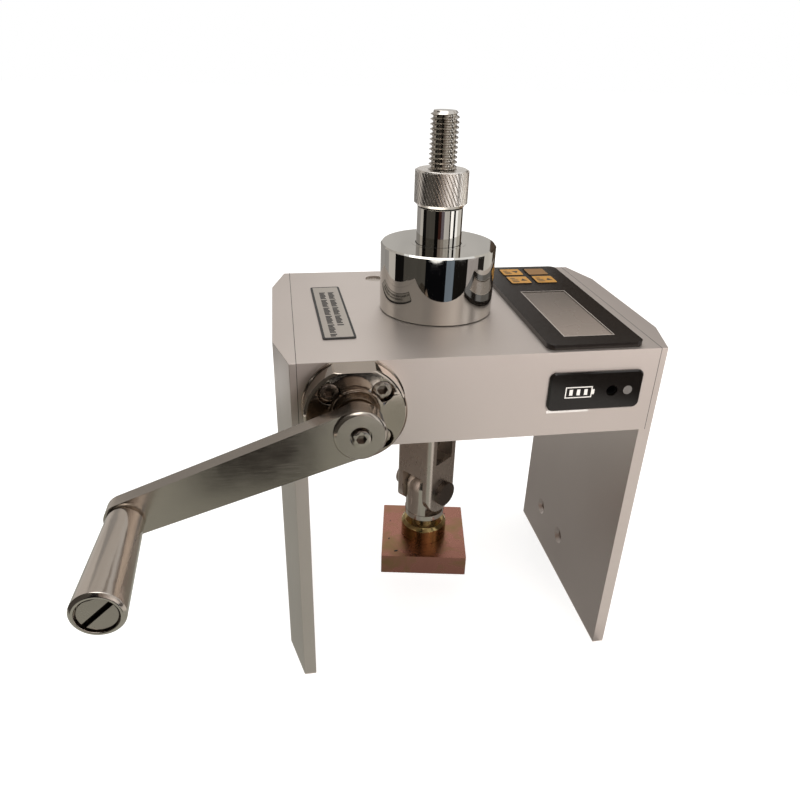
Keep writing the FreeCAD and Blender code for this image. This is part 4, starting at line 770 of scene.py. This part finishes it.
def joint_lines():
    """Fine dark gap where each side plate meets the casing, on top and in front."""
    low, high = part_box("casing")
    half = 0.09 * MM
    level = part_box("side_plate_left")[1].z
    for side, x in (("left", low.x), ("right", high.x)):
        film("joint_line_top_" + side, [bar(x - half, x + half, low.y, high.y)], level, "root", black_ink,
             height=0.02 * MM)
        film("joint_line_front_" + side, [bar(x - half, x + half, low.z, level)], low.y, "root", black_ink,
             axis="Y", outward=-1, height=0.02 * MM)


SLEEVE_RADIUS = 9.0 * MM
LIP_GAP = 0.3 * MM           # between the sleeve and the lip of the cap
LIP_RISE = 0.05 * MM
LIP_LAP = 0.5 * MM           # how far the lip reaches past the wiper ring


def cap_lip():
    """Thin flat ring round the sleeve."""
    bm = bmesh.new()
    inner = SLEEVE_RADIUS + LIP_GAP
    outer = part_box("sleeve_seal")[1].x + LIP_LAP
    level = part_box("tower_cap")[1].z
    bmesh.ops.create_circle(bm, segments=96, radius=inner)
    bmesh.ops.translate(bm, verts=bm.verts, vec=(0, 0, level - 4 * LIP_RISE))
    ring = bm.edges[:]
    ring = grow_ring(bm, ring, inner, level + LIP_RISE)
    ring = grow_ring(bm, ring, outer, level + LIP_RISE)
    ring = grow_ring(bm, ring, outer, level)
    return finish_piece(bm, "tower_cap_lip", "root", chrome, smooth=False)


GLUE = ((-17.7, -4.1, 0.5, 0.5), (-15.8, -13.6, 1.0, 0.55), (-15.0, 9.5, 0.3, 0.25), (13.5, 12.0, 0.3, 0.3))


def glue_crumbs():
    """Dark crumbs on top of the dolly: place and half sizes in mm."""
    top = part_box("dolly_block")[1].z
    outlines = []
    for x, y, half_x, half_y in GLUE:
        outlines.append([((x + half_x * math.cos(a)) * MM, (y + half_y * math.sin(a + 0.4)) * MM)
                         for a in (0.0, 0.9, 1.9, 2.9, 3.9, 5.1)])
    film("dolly_glue_crumbs", outlines, top, "dolly", black_ink, height=GLUE_HEIGHT)


painted_seat_highlight()
joint_lines()
sharp_shading(cap_lip())
glue_crumbs()
print("glue crumbs:", len(GLUE))

# %% [markdown]
# ## Floor and white background
# The stage is a plain pale floor under a white sky. The camera, mirrors and clear pieces see both
# as white. The floor adds its own lit colour to a base glow, so it reaches white in the open and
# stays a little grey where the object keeps the light away.

# %% Floor and sky
def white_seen(tree):
    """1 for camera, mirror and see-through rays, 0 for the others."""
    path = add(tree, "ShaderNodeLightPath")
    direct = add(tree, "ShaderNodeMath", {0: path.outputs["Is Camera Ray"], 1: path.outputs["Is Glossy Ray"]},
                 operation="MAXIMUM")
    return add(tree, "ShaderNodeMath", {0: direct.outputs[0], 1: path.outputs["Is Transmission Ray"]},
               operation="MAXIMUM").outputs[0]


def floor_material():
    material, tree, place = start_material("pale_floor")
    seen = white_seen(tree)
    tint = add(tree, "ShaderNodeMix", {0: seen, 6: linear("#f4f3f1"), 7: linear("#bcbbb9")}, data_type="RGBA")
    matt = add(tree, "ShaderNodeBsdfDiffuse", {"Color": tint.outputs[2]})
    glow = add(tree, "ShaderNodeMath", {0: seen, 1: 0.74}, operation="MULTIPLY")
    white = add(tree, "ShaderNodeEmission", {"Color": (1, 1, 1, 1), "Strength": glow.outputs[0]})
    both = add(tree, "ShaderNodeAddShader", {0: matt.outputs[0], 1: white.outputs[0]})
    add(tree, "ShaderNodeOutputMaterial", {"Surface": both.outputs[0]})
    return material


def white_world():
    world = bpy.data.worlds.new("white_world")
    bpy.context.scene.world = world
    world.use_nodes = True
    tree = world.node_tree
    tree.nodes.clear()
    strength = add(tree, "ShaderNodeMapRange", {"Value": white_seen(tree), "To Min": 0.62, "To Max": 1.0})
    sky = add(tree, "ShaderNodeBackground", {"Color": (1, 1, 1, 1), "Strength": strength.outputs[0]})
    add(tree, "ShaderNodeOutputWorld", {"Surface": sky.outputs[0]})


def sheet(name, corners, material):
    """Flat piece of the stage through its corners."""
    bm = bmesh.new()
    bm.faces.new([bm.verts.new(corner) for corner in corners])
    mesh = bpy.data.meshes.new(name)
    bm.to_mesh(mesh)
    bm.free()
    made = bpy.data.objects.new(name, mesh)
    bpy.context.collection.objects.link(made)
    paint(made, material)
    return made


FLOOR_HALF = 4.0
FLOOR_LEVEL = -0.1 * MM
sheet("floor", [(x * FLOOR_HALF, y * FLOOR_HALF, FLOOR_LEVEL) for x, y in ((-1, -1), (1, -1), (1, 1), (-1, 1))],
      floor_material())
white_world()
bpy.context.scene.view_settings.view_transform = "Standard"
print("floor metres:", 2 * FLOOR_HALF)

# %% [markdown]
# ## Cards that the metal mirrors
# Chrome and polished steel show only what stands round them. In the photograph that is a dim
# room: dark shapes in front, paler ones at the sides and a grey wall behind. Cards stand in for
# it. An upright card is given by two directions seen from the pull axis and its heights, a lying
# one by a rectangle on the floor. All upright cards stand at one distance, apart from the back
# wall and the dark sheet in front of it. Only reflections see them.

# %% Cards
CARD_DISTANCE = 360
UPRIGHT_CARDS = (        # from and to in degrees, 0 is the front and + is right, bottom and top in mm
    (-175, -122, 0, 300, "#a19e9b"),
    (-175, -122, 300, 700, "#bcb7b1"),
    (-122, -102, 0, 600, "#cbc6c0"),
    (-102, -80, 0, 600, "#121110"),
    (-80, -35, 0, 600, "#4d4a45"),
    (-35, 4, 0, 83, "#0b0b0d"),
    (4, 19, 0, 83, "#747f8a"),
    (19, 46, 0, 83, "#181614"),
    (46, 71, 0, 83, "#aca5a2"),
    (71, 88, 0, 83, "#2b2825"),
    (88, 120, 0, 600, "#d8d4cd"),
    (120, 150, 0, 330, "#4a4037"),
    (168, 182, 420, 700, "#857c74"),
    (-35, -17, 83, 600, "#0e0d0c"),
    (-17, -3, 83, 120, "#3f2620"),
    (-17, -3, 120, 600, "#857a72"),
    (-3, 12, 83, 120, "#6a6268"),
    (-3, 12, 120, 600, "#a39a93"),
    (12, 38, 83, 600, "#c9c5c0"),
    (38, 45, 83, 600, "#1a1816"),
    (60, 73, 83, 600, "#141312"),
)
LYING_CARDS = (          # left, right, front and back in mm
    (-330, 35, -335, -60, "#a9aba2"),
    (35, 330, -335, -60, "#dedad4"),
    (-330, -52, -60, 200, "#a9aaa2"),
    # Painted shadow: the middle card lies under the object and stands for the floor in its shade, as
    # reflections see it.
    (-52, 76, -60, 200, "#8f8c88"),
    (76, 330, -60, 200, "#cbc5bf"),
    (-125, -48, -340, -238, "#1f1915"),                  # seen by the middle of the crank arm
)
BACK_WALLS = (           # left, right, bottom, top, distance in mm
    (-1000, 1200, 250, 1300, 1000, "#c4c1bd"),
    (330, 740, 400, 660, 990, "#54483e"),                # seen by the display cover
)


def card_material(name, colour):
    """Plain card that shows one colour, slightly mottled."""
    material, tree, place = start_material(name)
    mottle = add(tree, "ShaderNodeTexNoise", {"Vector": place, "Scale": per_mm(60), "Detail": 2.0})
    level = add(tree, "ShaderNodeMapRange", {"Value": mottle.outputs["Fac"], "To Min": 0.8, "To Max": 1.2})
    glow = add(tree, "ShaderNodeEmission", {"Color": linear(colour), "Strength": level.outputs[0]})
    add(tree, "ShaderNodeOutputMaterial", {"Surface": glow.outputs[0]})
    return material


def reflected_card(name, corners, colour):
    """Card that only reflections see. Corners are in millimetres."""
    card = sheet(name, [Vector(corner) * MM for corner in corners], card_material(name, colour))
    card.visible_camera = False
    card.visible_diffuse = False
    card.visible_shadow = False
    card.visible_transmission = False


def ring_point(degrees, height):
    """Point at the cards' distance from the pull axis."""
    angle = math.radians(degrees)
    return (CARD_DISTANCE * math.sin(angle), -CARD_DISTANCE * math.cos(angle), height)


for number, (start, stop, bottom, top, colour) in enumerate(UPRIGHT_CARDS):
    reflected_card("upright_card_" + str(number), [ring_point(start, bottom), ring_point(stop, bottom),
                                                   ring_point(stop, top), ring_point(start, top)], colour)
for number, (x0, x1, y0, y1, colour) in enumerate(LYING_CARDS):
    z = 0.2 + 0.1 * number
    reflected_card("lying_card_" + str(number), [(x0, y0, z), (x1, y0, z), (x1, y1, z), (x0, y1, z)], colour)
for number, (x0, x1, z0, z1, y, colour) in enumerate(BACK_WALLS):
    reflected_card("back_wall_" + str(number), [(x0, y, z0), (x1, y, z0), (x1, y, z1), (x0, y, z1)], colour)
print("cards:", len(UPRIGHT_CARDS) + len(LYING_CARDS) + len(BACK_WALLS))

# %% [markdown]
# ## Lamps
# A large soft lamp above models the shape, a stronger one in front lights the casing, which has
# to be as pale as its top, and a weak one behind opens the shadows.

# %% Lamps
def lamp(name, place, target, size, power, colour):
    """Soft square lamp aimed at a point."""
    data = bpy.data.lights.new(name, "AREA")
    data.size = size
    data.energy = power
    data.color = linear(colour)[:3]
    light = bpy.data.objects.new(name, data)
    bpy.context.collection.objects.link(light)
    aim = (Vector(target) - Vector(place)).to_track_quat("-Z", "Y").to_matrix().to_4x4()
    light.matrix_world = Matrix.Translation(place) @ aim
    return light


lamp("top_lamp", (-0.25, -0.2, 1.1), (0, 0, 0.1), 0.9, 6.0, "#fffdf8")
lamp("front_lamp", (0.6, -1.2, 0.35), (0, 0, 0.1), 0.8, 15.0, "#fff6f2")
lamp("back_lamp", (0.1, 1.2, 1.2), (0, 0, 0.1), 0.8, 4.0, "#ffffff")
